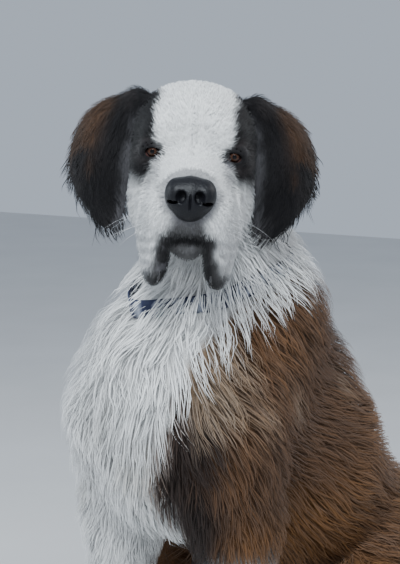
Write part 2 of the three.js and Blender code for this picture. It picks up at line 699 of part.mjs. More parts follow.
function lock(line, grow) {
  const rows = line.slice(0, -1).map(({ p, normal, flat, wide }) => {
    const across = times(unit(cross(normal, flat)), (LOCK.wide / 2) * wide + grow);
    const low = add(p, times(normal, -LOCK.thick - grow));
    return [add(low, across), sub(low, across), add(p, times(normal, grow))];
  });
  const end = line.at(-1);
  return blade(rows, add(end.p, times(end.flat, 2 * grow)));
}

// Lock roots over a core, each with its coat's depth.
function rootsOn(core, draw) {
  const { vertProperties, triVerts, numProp } = core.getMesh();
  const corner = (i) => [...vertProperties.slice(i * numProp, i * numProp + 3)];
  const roots = [];
  for (let t = 0; t < triVerts.length; t += 3) {
    const [a, b, c] = [...triVerts.slice(t, t + 3)].map(corner);
    const area = Math.hypot(...cross(sub(b, a), sub(c, a))) / 2;
    const tries = Math.ceil((area / LOCK.apart ** 2) * 12);
    for (let n = 0; n < tries; n++) {
      const [u, v] = [draw(), draw()].sort();
      const p = add(times(a, u), add(times(b, v - u), times(c, 1 - v)));
      if (Math.abs(coreField(p)) > 4 || p[2] < LOCK.thick) continue;
      roots.push({ p, coat: meanOf(FLESH, coatAt) });
    }
  }
  const kept = [];
  for (const root of roots.sort(() => draw() - 0.5)) {
    if (root.coat < LONG_COAT) continue;
    if (kept.every((other) => Math.hypot(...sub(other.p, root.p)) > LOCK.apart)) kept.push(root);
  }
  return kept;
}

const LOCKED = "neck chest belly hips upper_arm thigh tail_base tail_middle tail_tip".split(" ");
const cores = new Map(nodes.map(({ name, body }) => [name, body]));
const meets = (a, b) => {
  const [p, q] = [a.boundingBox(), b.boundingBox()];
  return [0, 1, 2].every((i) => p.min[i] < q.max[i] + 1 && q.min[i] < p.max[i] + 1);
};
const standing = [];
const draw = random(7);
let lockCount = 0;
for (const item of nodes) {
  if (!LOCKED.some((name) => item.name.startsWith(name))) continue;
  const lines = rootsOn(item.body, draw).map(({ p, coat }) => {
    coreField(p);
    return lockLine(p, coat, draw);
  });
  if (!lines.length) continue;
  lockCount += lines.length;
  let locks = floored(wasm.Manifold.union(lines.map((line) => lock(line, 0))));
  for (const [name, core] of cores) {
    if (name !== item.name && meets(core, locks)) locks = locks.subtract(grown(core));
  }
  for (const other of standing) {
    if (meets(other, locks)) locks = locks.subtract(other);
  }
  standing.push(wasm.Manifold.union(lines.map((line) => lock(line, GAP))));
  item.body = largest(item.body.add(locks));
}


// What still crosses is cut from the later node.
for (const [i, one] of nodes.entries()) {
  for (const other of nodes.slice(i + 1)) {
    if (!meets(one.body, other.body)) continue;
    const shared = one.body.intersect(other.body);
    if (shared.numTri() === 0) continue;
    other.body = largest(other.body.subtract(one.body).subtract(grown(shared)));
  }
}

// The dog is centred over the origin.

const whole = new THREE.Group();
whole.name = "saint_bernard_dog";
for (const { name, body, look } of nodes) {
  const { vertProperties, triVerts } = body.getMesh();
  const geometry = new THREE.BufferGeometry();
  geometry.setAttribute("position", new THREE.BufferAttribute(Float32Array.from(vertProperties), 3));
  geometry.setIndex([...triVerts]);
  const mesh = new THREE.Mesh(geometry, new THREE.MeshStandardMaterial(look));
  mesh.name = name;
  whole.add(mesh);
}
const box = new THREE.Box3().setFromObject(whole);
const middle = box.getCenter(new THREE.Vector3());
for (const mesh of whole.children) mesh.geometry.translate(-middle.x, -middle.y, -box.min.z);

export default whole;
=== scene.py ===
import math

import bpy
import numpy as np
from mathutils import Matrix, Vector, kdtree


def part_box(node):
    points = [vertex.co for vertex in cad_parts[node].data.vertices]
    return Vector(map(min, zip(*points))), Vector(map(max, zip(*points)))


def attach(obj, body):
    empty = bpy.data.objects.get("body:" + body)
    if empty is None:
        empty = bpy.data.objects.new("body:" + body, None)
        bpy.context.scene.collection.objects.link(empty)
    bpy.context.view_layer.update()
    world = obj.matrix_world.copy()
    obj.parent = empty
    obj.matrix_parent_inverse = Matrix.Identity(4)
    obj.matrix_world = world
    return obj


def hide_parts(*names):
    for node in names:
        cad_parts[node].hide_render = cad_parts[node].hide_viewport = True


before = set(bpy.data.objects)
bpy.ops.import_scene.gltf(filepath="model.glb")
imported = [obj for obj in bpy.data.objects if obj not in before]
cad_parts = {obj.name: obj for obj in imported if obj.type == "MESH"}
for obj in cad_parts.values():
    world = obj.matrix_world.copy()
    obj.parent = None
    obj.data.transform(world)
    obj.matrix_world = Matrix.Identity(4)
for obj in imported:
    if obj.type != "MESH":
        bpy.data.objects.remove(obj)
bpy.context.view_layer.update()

rng = np.random.default_rng(11)

# Sizes in millimetres, as the solids have them, in the dog's own frame: +z up, -y forward, +x to its left

MM_IN_METRE = 1000
HEAD_PLACE = np.array([30.0, -165.0, 880.0])
HEAD_TURN, HEAD_TILT, HEAD_NOD = 33, 4, 2
EYE_PLACE = np.array([51.0, -58.0, 0.0])
EYE_RADIUS = 13.0
COLLAR_AT = np.array([14.0, -112, 705])
COLLAR_TILT = np.array([0, -0.2, 0.98])
FORELEG_APART = 84
HINDLEG_APART = 172
# How far one form's coat reaches into the next, and how softly the groups of forms run together
COAT_SPREAD = 14
NECK_JOIN, TAIL_JOIN, HEAD_JOIN, JAW_JOIN, FOOT_JOIN = 60, 30, 22, 5, 14


def unit(v):
    v = np.asarray(v, float)
    return v / np.maximum(np.linalg.norm(v, axis=-1, keepdims=True), 1e-9)


def turned(axis, degrees):
    a = math.radians(degrees)
    c, s = math.cos(a), math.sin(a)
    i, j = [(1, 2), (2, 0), (0, 1)][axis]
    m = np.eye(3)
    m[i, i], m[i, j], m[j, i], m[j, j] = c, -s, s, c
    return m


HEAD_AXES = turned(2, HEAD_TURN) @ turned(1, HEAD_TILT) @ turned(0, HEAD_NOD)


def to_head(p):
    return (p - HEAD_PLACE) @ HEAD_AXES


def from_head(p):
    return p @ HEAD_AXES.T + HEAD_PLACE


def bone(start, end, start_size, end_size, coat, blend, lie=None):
    """A rounded limb between two points. Each size is how far it reaches to the side and in depth."""
    start, end = np.array(start, float), np.array(end, float)
    along = unit(end - start)
    up = unit(np.cross([1.0, 0, 0], along))
    form = dict(start=start, end=end, sizes=(np.array(start_size, float), np.array(end_size, float)))
    form.update(axes=(np.cross(along, up), up, along), coat=coat, blend=blend)
    form["lie"] = unit(along if lie is None else lie)
    return form


def ball(centre, radii, coat, blend, lie):
    """An egg shape. Blend is how softly it joins, and lie the way that its hair points."""
    return dict(centre=np.array(centre, float), radii=radii, coat=coat, blend=blend, lie=unit(lie))


BACKWARD = [0, 1, -0.1]
HEAD_FORMS = [
    ball([0, 12, 16], [76, 88, 56], 6, 20, BACKWARD),
    ball([0, 2, 42], [60, 70, 36], 7, 30, BACKWARD),
    ball([48, -10, -44], [28, 58, 60], 7, 30, [0.2, 1, -0.6]),
    ball([44, -42, -22], [26, 28, 22], 4, 22, [0.2, 0.6, -0.8]),
    ball([34, -52, 22], [25, 20, 19], 4, 20, [0.3, 0.4, 1]),
    bone([0, -138, -36], [0, -66, -20], [31, 22], [36, 28], 3, 20),
    bone([0, -130, -62], [0, -80, -58], [44, 38], [48, 44], 4, 22),
    bone([34, -134, -74], [42, -84, -86], [18, 34], [19, 42], 4, 18, [0.1, 0.35, -1]),
    bone([35, -134, -114], [42, -100, -121], [13, 40], [13, 40], 4, 14, [0.1, 0.3, -1]),
    bone([0, -50, -84], [0, 30, -70], [46, 34], [62, 56], 30, 40, [0, -0.15, -1]),
]
JAW_FORMS = [bone([0, -134, -104], [0, -70, -96], [20, 18], [28, 24], 4, 12, [0, 0.6, -1])]
BODY_FORMS = [
    bone([0, -100, 525], [0, 90, 410], [108, 140], [124, 145], 38, 60),
    bone([0, -185, 580], [0, -165, 460], [68, 66], [70, 66], 42, 60),
    bone([0, -40, 655], [0, 65, 540], [88, 90], [100, 106], 38, 60),
    bone([0, 90, 410], [0, 240, 270], [120, 138], [124, 128], 38, 60),
    bone([0, 220, 235], [0, 290, 150], [138, 138], [118, 112], 38, 60),
    bone([64, -30, 640], [76, -168, 520], [48, 66], [48, 66], 34, 50, [0.15, 0.4, -1]),
    bone([78, -172, 520], [92, -150, 385], [44, 62], [38, 54], 30, 45),
    bone([92, -150, 380], [FORELEG_APART, -196, 140], [37, 46], [29, 33], 15, 30),
    bone([FORELEG_APART, -196, 140], [FORELEG_APART, -216, 50], [31, 34], [34, 34], 9, 24),
    bone([104, 240, 235], [172, 80, 205], [84, 110], [66, 82], 36, 50, [0.2, 0.35, -1]),
    bone([174, 70, 190], [160, 215, 66], [52, 54], [33, 37], 18, 34),
    bone([162, 222, 44], [HINDLEG_APART, 90, 38], [29, 34], [31, 30], 11, 26),
]
NECK_FORMS = [
    bone([10, -84, 806], [0, -36, 670], [58, 62], [90, 92], 38, 60),
    bone([34, -146, 742], [0, -180, 600], [56, 54], [80, 68], 40, 60),
]
TAIL_ROUTE = [[0, 370, 112], [22, 446, 60], [90, 494, 48], [186, 492, 44], [268, 440, 40]]
TAIL_SIZES = [38, 30, 24, 19, 12]
TAIL_COATS = [36, 38, 38, 36]
TAIL_BLEND = 40
TAIL_JOINTS = zip(TAIL_ROUTE, TAIL_ROUTE[1:], TAIL_SIZES, TAIL_SIZES[1:], TAIL_COATS)
TAIL_FORMS = [bone(a, b, [wide] * 2, [thin] * 2, coat, TAIL_BLEND) for a, b, wide, thin, coat in TAIL_JOINTS]
FOOT_FORMS = [
    bone([0, 34, 52], [0, -14, 36], [32, 32], [34, 26], 8, 18),
    ball([12, -36, 24], [13, 26, 20], 5, 8, [0, -1, -0.3]),
    ball([31, -22, 22], [13, 26, 19], 5, 8, [0.2, -1, -0.3]),
    ball([0, 0, 16], [34, 34, 20], 4, 16, [0, -1, 0]),
]
FEET = [
    dict(apart=FORELEG_APART, y=-226, splay=4, size=1.0),
    dict(apart=HINDLEG_APART + 2, y=62, splay=10, size=0.94),
]


def length_of(v):
    return np.sqrt((v * v).sum(-1))


def distance(form, p):
    """About how far each point is outside the form."""
    if "radii" in form:
        q = p - form["centre"]
        sizes = [np.full(len(p), r, p.dtype) for r in form["radii"]]
        parts = [q[:, i] for i in range(3)]
    else:
        line = form["end"] - form["start"]
        t = np.clip(((p - form["start"]) @ line) / (line @ line), 0, 1)
        q = p - (form["start"] + t[:, None] * line)
        a, b = form["sizes"]
        wide, deep = a[0] + (b[0] - a[0]) * t, a[1] + (b[1] - a[1]) * t
        sizes = [wide, deep, (wide + deep) / 2]
        parts = [q @ axis for axis in form["axes"]]
    near = np.sqrt(sum((c / r) ** 2 for c, r in zip(parts, sizes)))
    slope = np.sqrt(sum((c / r**2) ** 2 for c, r in zip(parts, sizes)))
    return near * (near - 1) / np.maximum(slope, 1e-6)


def smooth_min(a, b, k):
    h = np.maximum(k - np.abs(a - b), 0) / k
    return np.minimum(a, b) - h * h * k / 4


def folded(p):
    """Both halves of the animal on one side, because its forms are made once."""
    q = p.copy()
    q[:, 0] = np.abs(q[:, 0])
    return q


def joined(forms, p):
    each = [distance(form, p) for form in forms]
    total = each[0]
    for form, d in zip(forms[1:], each[1:]):
        total = smooth_min(total, d, form["blend"])
    return total, each


def foot_local(foot, p):
    """The frame of one pair of feet, both laid on the left one."""
    q = folded(p) - np.array([foot["apart"], foot["y"], 0])
    return q @ turned(2, foot["splay"]) / foot["size"]


def measure(p, full=False):
    """Distance from the skin at p. With full, also each form's share there and p in the head's frame."""
    body, each = joined(BODY_FORMS, folded(p))
    weights = list(each)
    neck, each = joined(NECK_FORMS, p)
    weights += each
    d = smooth_min(body, neck, NECK_JOIN)
    tail, each = joined(TAIL_FORMS, p)
    weights += each
    d = smooth_min(d, tail, TAIL_JOIN)
    local = to_head(p)
    head, each = joined(HEAD_FORMS, folded(local))
    weights += each
    d = smooth_min(d, head, HEAD_JOIN)
    jaw, each = joined(JAW_FORMS, folded(local))
    weights += each
    d = smooth_min(d, jaw, JAW_JOIN)
    for foot in FEET:
        near, each = joined(FOOT_FORMS, folded(foot_local(foot, p)))
        weights += [e * foot["size"] for e in each]
        d = smooth_min(d, near * foot["size"], FOOT_JOIN)
    if not full:
        return d
    each = np.array(weights)
    w = np.exp((each.min(0) - each) / COAT_SPREAD)
    w /= w.sum(0)
    return d, w, local


# The forms in the order in which measure weighs them

GROUPS = dict(
    body=BODY_FORMS, neck=NECK_FORMS, tail=TAIL_FORMS, head=HEAD_FORMS, jaw=JAW_FORMS,
    forefoot=FOOT_FORMS, hindfoot=FOOT_FORMS,
)
ALL_FORMS = sum(GROUPS.values(), [])
GROUP_OF = [name for name, forms in GROUPS.items() for _ in forms]


def coat_and_lie(p):
    """Distance from the skin, the coat's depth, the hair's way, the head's share and p in its frame."""
    d, shares, local = measure(p, True)
    coat = np.array([form["coat"] for form in ALL_FORMS]) @ shares
    side = np.where(p[:, 0] < 0, -1.0, 1.0)
    head_side = np.where(local[:, 0] < 0, -1.0, 1.0)
    way = np.zeros_like(p)
    on_head = np.zeros(len(p))
    for form, group, share in zip(ALL_FORMS, GROUP_OF, shares):
        lie = np.tile(form["lie"], (len(p), 1))
        if group in ("head", "jaw"):
            lie[:, 0] *= head_side
            lie = lie @ HEAD_AXES.T
            on_head += share
        elif group in ("body", "forefoot", "hindfoot"):
            lie[:, 0] *= side
        way += lie * share[:, None]
    return d, coat, unit(way), on_head, local


# A random field, the same on each run, and soft steps

CORNERS = [(n & 1, (n >> 1) & 1, n >> 2) for n in range(8)]


def noise(p, scale, seed):
    """Smooth noise from -1 to 1, in lumps of about scale millimetres."""
    q = p / scale
    low = np.floor(q)
    f = q - low
    f = f * f * (3 - 2 * f)
    total = np.zeros(len(p))
    for corner in CORNERS:
        c = np.array(corner, float)
        at = low + c
        h = np.sin(at @ np.array([12.9898, 78.233, 37.719]) + seed * 17.3) * 43758.5453
        weight = np.prod(np.where(c > 0, f, 1 - f), axis=1)
        total += (h - np.floor(h)) * weight
    return total * 2 - 1


def step(low, high, x):
    """0 below low, 1 above high, and soft between."""
    t = np.clip((x - low) / (high - low), 0, 1)
    return t * t * (3 - 2 * t)


def blend(a, b, t):
    return a + (b - a) * np.asarray(t)[..., None]


# Markings. The white's edge on the body is given by height and by the distance along RIGHT, across the view.

def colour(r, g, b):
    """A colour on the usual 0 to 255 scale, as light."""
    s = np.array([r, g, b]) / 255
    return np.where(s <= 0.04045, s / 12.92, ((s + 0.055) / 1.055) ** 2.4)


WHITE = colour(236, 236, 234)
GREY = colour(120, 118, 122)
TAN = colour(150, 126, 102)
BROWN = colour(100, 70, 46)
GOLD = colour(118, 80, 44)
SABLE = colour(36, 31, 31)
BLACK = colour(17, 15, 17)
LIP = colour(22, 19, 22)
RIGHT = np.array([math.cos(math.radians(HEAD_TURN)), math.sin(math.radians(HEAD_TURN)), 0])
EDGE_Z = [0, 410, 476, 550, 602, 646, 676, 702, 742, 800]
EDGE_U = [-84, -88, -112, -102, -84, -54, -12, 56, 84, 140]
TAN_SPOTS = [(-118, -150, 722, 20), (-66, -236, 684, 17)]
# The dark patch round each eye: side, and size
EYE_PATCHES = [(1, 17.0), (-1, 12.5)]


def body_colour(p):
    """White in front, brown behind a ragged edge, with black over the edge, tan streaks and a dark back."""
    x, y, z = p.T
    rag = 14 * noise(p, 60, 1) + 7 * noise(p, 22, 2)
    inside = p @ RIGHT - np.interp(z, EDGE_Z, EDGE_U) + rag
    brown = step(-9, 9, inside)
    far = step(-14, 14, y + 10 + 1.6 * rag) * step(10, 50, -x)
    far *= 1 - step(640, 690, z + rag)
    brown = np.maximum(brown, far)
    foreleg = (1 - step(318, 372, z + rag)) * (1 - step(-96, -60, y))
    brown *= 1 - foreleg
    above_sock = step(64, 92, z + 0.7 * rag)
    brown *= above_sock + (y > 300) * (1 - above_sock)
    under = (1 - step(70, 118, np.abs(x))) * (1 - step(200, 300, z)) * (y < 200)
    brown *= 1 - under
    on_tail = step(380, 440, y + 0.3 * x)
    brown *= 1 - on_tail * step(196, 226, x + rag)
    tone = blend(BROWN, GOLD, step(-0.2, 0.7, noise(p, 130, 3) + (400 - z) / 500))
    band = step(0, 12, inside) * (1 - step(46, 92, inside + 14 * noise(p, 34, 5)))
    band *= (1 - step(585, 640, z)) * (y < 40)
    tone = blend(tone, SABLE, band * 0.88)
    streak = step(0.05, 0.6, noise(p * [1, 1, 0.5], 46, 6)) * step(520, 570, z)
    streak *= 1 - step(640, 680, z)
    tone = blend(tone, TAN, streak * 0.75)
    spine = (1 - step(20, 90, np.abs(x) + rag)) * step(-40, 60, y) * step(200, 300, z)
    tone = blend(tone, SABLE, spine * 0.55)
    tone = blend(tone, SABLE, 0.35 * step(0.25, 0.7, noise(p, 70, 8)))
    white = blend(WHITE, WHITE * [0.86, 0.84, 0.8], step(0.2, 0.8, noise(p, 55, 9)))
    for *place, size in TAN_SPOTS:
        near = np.sqrt(((p - place) ** 2).sum(1)) + rag
        white = blend(white, TAN, 0.7 * (1 - step(size * 0.5, size * 1.4, near)))
    return blend(white, tone, brown)


def head_colour(q):
    """White blaze and cheeks, painted shade greying the lower muzzle, dark sides, back and lids, and black
    round the mouth, in the head's frame.
    """
    rag = 4 * noise(q, 16, 11) + 2 * noise(q, 6, 12)
    x, y, z = q.T
    ax = np.abs(x)
    # Painted shade: the white turns greyer low on the front of the muzzle and chin, for the shade under the
    # light from above
    c = blend(WHITE, WHITE * [0.8, 0.8, 0.82], 0.6 * step(-40, -90, z) * (y < -60))
    side = step(49, 60, ax + rag + 0.10 * (z + 10) - 0.1 * np.minimum(y + 40, 0))
    side *= step(-52, -24, z + rag)
    c = blend(c, BLACK, side)
    back = step(20, 52, y + 1.2 * rag + 0.25 * (ax - 30)) * step(-110, -70, z)
    c = blend(c, blend(BROWN * 0.7, BLACK, step(-0.3, 0.5, noise(q, 30, 14))), back * step(9, 16, ax + rag))
    for side, size in EYE_PATCHES:
        near = np.sqrt((x - side * 60) ** 2 + ((z + 2) / 1.25) ** 2 + ((y + 58) / 2.4) ** 2) + rag
        c = blend(c, SABLE, 0.95 * (1 - step(size * 0.8, size * 1.35, near)))
    lid = np.sqrt((ax - 51) ** 2 / 1.5 + z**2) + 0.4 * rag
    c = blend(c, BLACK, 0.92 * (1 - step(11, 16, lid)) * (y < -55))
    tear = (1 - step(3, 8, np.abs(ax - 41 + 0.15 * z) + 0.5 * rag)) * step(-46, -30, z)
    tear = tear * (1 - step(-10, -4, z)) * (y < -60)
    c = blend(c, GREY, 0.55 * tear)
    philtrum = (1 - step(13, 28, ax + 0.4 * (z + 74) + rag)) * (1 - step(-64, -54, z)) * (y < -120)
    c = blend(c, SABLE, 0.88 * philtrum)
    inner = (1 - step(28, 42, ax + rag)) * (1 - step(-96, -82, z)) * (y < -70)
    chin = (1 - step(17, 24, ax + 0.5 * rag)) * (1 - step(-106, -99, z)) * (y < -60)
    c = blend(c, BLACK, 0.92 * inner * (1 - chin))
    c = blend(c, GREY, 0.25 * chin * step(0.1, 0.5, noise(q, 5, 21)))
    edge = (1 - step(-148, -136, z + 0.4 * rag)) * (ax > 18) * (y < -60)
    c = blend(c, BLACK, 0.8 * edge)
    around = np.sqrt((x / 36) ** 2 + ((z + 42) / 32) ** 2) + 0.03 * rag
    c = blend(c, GREY * 0.8, 0.7 * (1 - step(0.9, 1.25, around)) * (y < -140))
    specks = step(0.55, 0.75, noise(q, 7, 23)) * (1 - step(-30, -10, z)) * (y < -90)
    return blend(c, GREY, 0.45 * specks)


def coat_colour(p, on_head, local):
    return blend(body_colour(p), head_colour(local), step(0.35, 0.65, on_head.clip(0, 1)))


# Skin: a lattice of distances, meshed with one point in each cell that the surface crosses

FAR = 99.0
REACH_SHARE = 0.95
BLOCKS_AT_ONCE = 3000


def at_corners(values, cells):
    return [values[i:cells[0] + i, j:cells[1] + j, k:cells[2] + k] for i, j, k in CORNERS]


def lattice_mesh(function, low, high, size, coarse):
    """Points and quads of the surface where function is 0, worked out finely only in blocks near it."""
    low, high = np.array(low, float), np.array(high, float)
    factor = int(round(coarse / size))
    counts = np.ceil((high - low) / (size * factor)).astype(int)
    nodes = [low[i] + np.arange(counts[i] + 1) * size * factor for i in range(3)]
    grid = np.stack(np.meshgrid(*nodes, indexing="ij"), -1).reshape(-1, 3)
    rough = function(grid).reshape(counts + 1)
    fine = counts * factor + 1
    values = np.full(fine, FAR, np.float32)
    reach = size * factor * REACH_SHARE
    offsets = np.arange(factor + 1)
    corners = at_corners(rough, counts)
    least, most = np.min(corners, 0), np.max(corners, 0)
    blocks = np.argwhere((least < reach) & (most > -reach))
    inner = np.argwhere(most <= -reach)
    for b in inner:
        a = b * factor
        values[a[0]:a[0] + factor + 1, a[1]:a[1] + factor + 1, a[2]:a[2] + factor + 1] = -FAR
    cube = np.stack(np.meshgrid(offsets, offsets, offsets, indexing="ij"), -1).reshape(-1, 3)
    for part in np.array_split(blocks, max(1, len(blocks) // BLOCKS_AT_ONCE)):
        index = (part[:, None, :] * factor + cube[None]).reshape(-1, 3)
        got = function(low + index * size)
        values[index[:, 0], index[:, 1], index[:, 2]] = got
    inside = values < 0
    total = sum(part.astype(np.int8) for part in at_corners(inside, fine - 1))
    cells = np.argwhere((total > 0) & (total < 8))
    corner = np.array(CORNERS)
    at = cells[:, None, :] + corner[None]
    v = values[at[..., 0], at[..., 1], at[..., 2]].astype(float)
    points, count = np.zeros((len(cells), 3)), np.zeros(len(cells))
    for a in range(8):
        for axis in range(3):
            b = a | (1 << axis)
            if b == a:
                continue
            crossed = (v[:, a] < 0) != (v[:, b] < 0)
            gap = np.where(crossed, v[:, a] - v[:, b], 1)
            t = np.where(crossed, v[:, a] / gap, 0)
            place = corner[a] + t[:, None] * (corner[b] - corner[a])
            points += place * crossed[:, None]
            count += crossed
    points = low + (cells + points / count[:, None]) * size
    name = np.full(np.array(fine) - 1, -1, np.int32)
    name[cells[:, 0], cells[:, 1], cells[:, 2]] = np.arange(len(cells))
    quads = []
    for axis in range(3):
        a = [slice(1, n - 1) for n in fine]
        b = list(a)
        b[axis] = slice(2, fine[axis])
        here, there = inside[tuple(a)], inside[tuple(b)]
        place = np.argwhere(here != there) + 1
        u, w = np.zeros(3, int), np.zeros(3, int)
        u[(axis + 1) % 3] = w[(axis + 2) % 3] = 1
        ring = [place - u - w, place - w, place, place - u]
        ids = np.stack([name[r[:, 0], r[:, 1], r[:, 2]] for r in ring], 1)
        inward = ~inside[place[:, 0], place[:, 1], place[:, 2]]
        ids[inward] = ids[inward][:, ::-1]
        quads.append(ids[(ids >= 0).all(1)])
    return points, np.concatenate(quads)


def new_mesh(name, points, faces, smooth=True):
    """A mesh of faces of one size, points in metres."""
    mesh = bpy.data.meshes.new(name)
    points = np.ascontiguousarray(points, np.float32)
    faces = np.ascontiguousarray(faces, np.int32)
    mesh.vertices.add(len(points))
    mesh.vertices.foreach_set("co", points.ravel())
    mesh.loops.add(faces.size)
    mesh.loops.foreach_set("vertex_index", faces.ravel())
    mesh.polygons.add(len(faces))
    mesh.polygons.foreach_set("loop_start", np.arange(len(faces), dtype=np.int32) * faces.shape[1])
    mesh.update(calc_edges=True)
    mesh.polygons.foreach_set("use_smooth", np.full(len(faces), smooth))
    thing = bpy.data.objects.new(name, mesh)
    bpy.context.scene.collection.objects.link(thing)
    return thing


def paint(thing, colours):
    """Gives each point its colour, under the name that the materials read."""
    layer = thing.data.color_attributes.new("tone", "FLOAT_COLOR", "POINT")
    rgba = np.ones((len(colours), 4), np.float32)
    rgba[:, :3] = colours
    layer.data.foreach_set("color", rgba.ravel())


# The solids were moved so that their box is centred. The left eye is a ball, so its box shows by how much

low, high = (np.array(corner) * MM_IN_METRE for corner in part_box("eye_left"))
SHIFT = (low + high) / 2 - from_head(EYE_PLACE[None])[0]


def ring_faces(along, around):
    """Quads between closed rings of points."""
    ids = np.arange(along * around).reshape(along, around)
    nxt = np.roll(ids, -1, 1)
    return np.stack([ids[:-1], ids[1:], nxt[1:], nxt[:-1]], -1).reshape(-1, 4)


def metres(p):
    return (np.asarray(p, float) + SHIFT) / MM_IN_METRE


def egg(p, centre, radii, turn=None):
    """About how far each point is outside an egg."""
    q = p - np.array(centre, float)
    if turn is not None:
        q = q @ turn
    r = np.array(radii, float)
    near = length_of(q / r)
    return near * (near - 1) / np.maximum(length_of(q / r**2), 1e-6)


# The head is meshed finer than the body. They meet at this plane, in the head's frame, and overlap a little
HEAD_CUT_WAY = np.array([0, 0.464, -0.886])
HEAD_CUT_AT = np.array([0, 44.0, -84.0])
HEAD_BEYOND, BODY_BEYOND = 12, 2
HEAD_LATTICE = dict(low=[-118, -212, -172], high=[118, 124, 112], size=2.6, coarse=13)
BODY_LATTICE = dict(low=[-300, -330, -14], high=[330, 560, 900], size=7, coarse=28)
NOSE_LATTICE = dict(low=[-40, -196, -80], high=[40, -132, -10], size=1.25, coarse=5)
# Eggs round the eyeball: the hollow before it, the lids, and the slit between them
HOLLOW_FROM_EYE, HOLLOW_SIZE = [0, -26, 0], (18, 14, 12)
LID_SIZE = (18, 16.5, 16.5)
SLIT_FROM_EYE, SLIT_SIZE, SLIT_TILT = [0, -18, -1.6], (12, 12, 6.4), 8
EYE_GAP = 0.4
# How much of the coat's depth a hair is long, and its shortest and longest length
LENGTH_SHARE, SHORTEST, LONGEST = 1.6, 6.5, 62
EAR_COAT = 6.0
# Painted shade: the skin under the coat takes the coat's markings darkened by this share, for the shade among
# the hairs
SKIN_SHADE = 0.8
FOLD_SHARE = 1.6
FOOTING = 1.0


def wrinkles(q):
    """How far the folds of cheek, stop, brow, forehead, lower lid and flew stand out from the skin."""
    x, y, z = np.abs(q[:, 0]), q[:, 1], q[:, 2]
    cheek = np.exp(-(((x - 58) / 12) ** 2)) * step(-128, -100, z) * (1 - step(-40, -18, z)) * (y > -130)
    fold = 1.3 * np.sin((x + 0.16 * z) * 0.62 + 1.5) * cheek
    stop = -1.8 * np.exp(-(((z + 17 + 0.012 * x**2) / 3) ** 2) - (x / 22) ** 2) * (y < -50)
    brow = -1.4 * np.exp(-(((z - 34 + 0.25 * x) / 3.5) ** 2) - ((x - 26) / 18) ** 2) * (y < -40)
    furrow = -1.6 * np.exp(-((x / 4) ** 2)) * step(-10, 10, z) * (1 - step(50, 75, z)) * (y < -20)
    pouch = 1.4 * np.exp(-(((x - 49) / 13) ** 2) - (((z + 18) / 6) ** 2)) * (y < -50)
    flew = 0.9 * np.sin(z * 0.42 + x * 0.2) * step(-150, -120, z) * (1 - step(-100, -84, z)) * (x > 40)
    return FOLD_SHARE * (fold + stop + brow + furrow + pouch + flew)


def past_cut(q):
    """How far a point of the head's frame is beyond the plane between head and body."""
    return (q - HEAD_CUT_AT) @ HEAD_CUT_WAY


def head_skin(q):
    f = folded(q)
    d = measure(from_head(q))
    d = -smooth_min(-d, egg(f, EYE_PLACE + HOLLOW_FROM_EYE, HOLLOW_SIZE), 4)
    d = smooth_min(d, egg(f, EYE_PLACE, LID_SIZE), 5)
    opening = egg(f, EYE_PLACE + SLIT_FROM_EYE, SLIT_SIZE, turned(1, SLIT_TILT))
    cavity = length_of(f - EYE_PLACE) - EYE_RADIUS - EYE_GAP
    d = np.maximum(d, -np.minimum(opening, cavity))
    return np.maximum(d, past_cut(q) - HEAD_BEYOND)


def body_skin(p):
    d = np.maximum(measure(p), -past_cut(to_head(p)) - BODY_BEYOND)
    return np.maximum(d, FOOTING - p[:, 2])


def settle(function, p, rounds=2, h=0.5):
    """Moves points of the mesh onto the surface itself."""
    for _ in range(rounds):
        d = function(p)
        n = np.stack([function(p + np.eye(3)[i] * h) - d for i in range(3)], 1) / h
        p = p - n * (np.clip(d, -3, 3) / np.maximum((n * n).sum(1), 0.25))[:, None]
    return p


# Rows down the ear: place, the way across it, the way out of it, half its width, and its thickness

EAR_ROWS = [
    ([56, 10, 62], [0.1, 1, -0.2], [0.8, 0, 0.6], 30, 9),
    ([76, 14, 66], [0.35, 0.93, -0.1], [0.5, -0.1, 0.86], 36, 9),
    ([98, 16, 54], [0.62, 0.78, 0], [0.7, -0.5, 0.5], 42, 9),
    ([114, 14, 28], [0.74, 0.67, 0], [0.66, -0.7, 0.2], 46, 8),
    ([123, 10, -6], [0.79, 0.61, 0], [0.61, -0.79, 0.06], 48, 8),
    ([125, 6, -42], [0.79, 0.61, 0], [0.61, -0.79, 0], 46, 8),
    ([120, 0, -72], [0.8, 0.6, 0.1], [0.6, -0.79, 0], 38, 8),
    ([113, -6, -95], [0.8, 0.58, 0.16], [0.58, -0.8, 0], 26, 7),
    ([109, -12, -108], [0.8, 0.56, 0.2], [0.56, -0.8, 0], 11, 5),
]


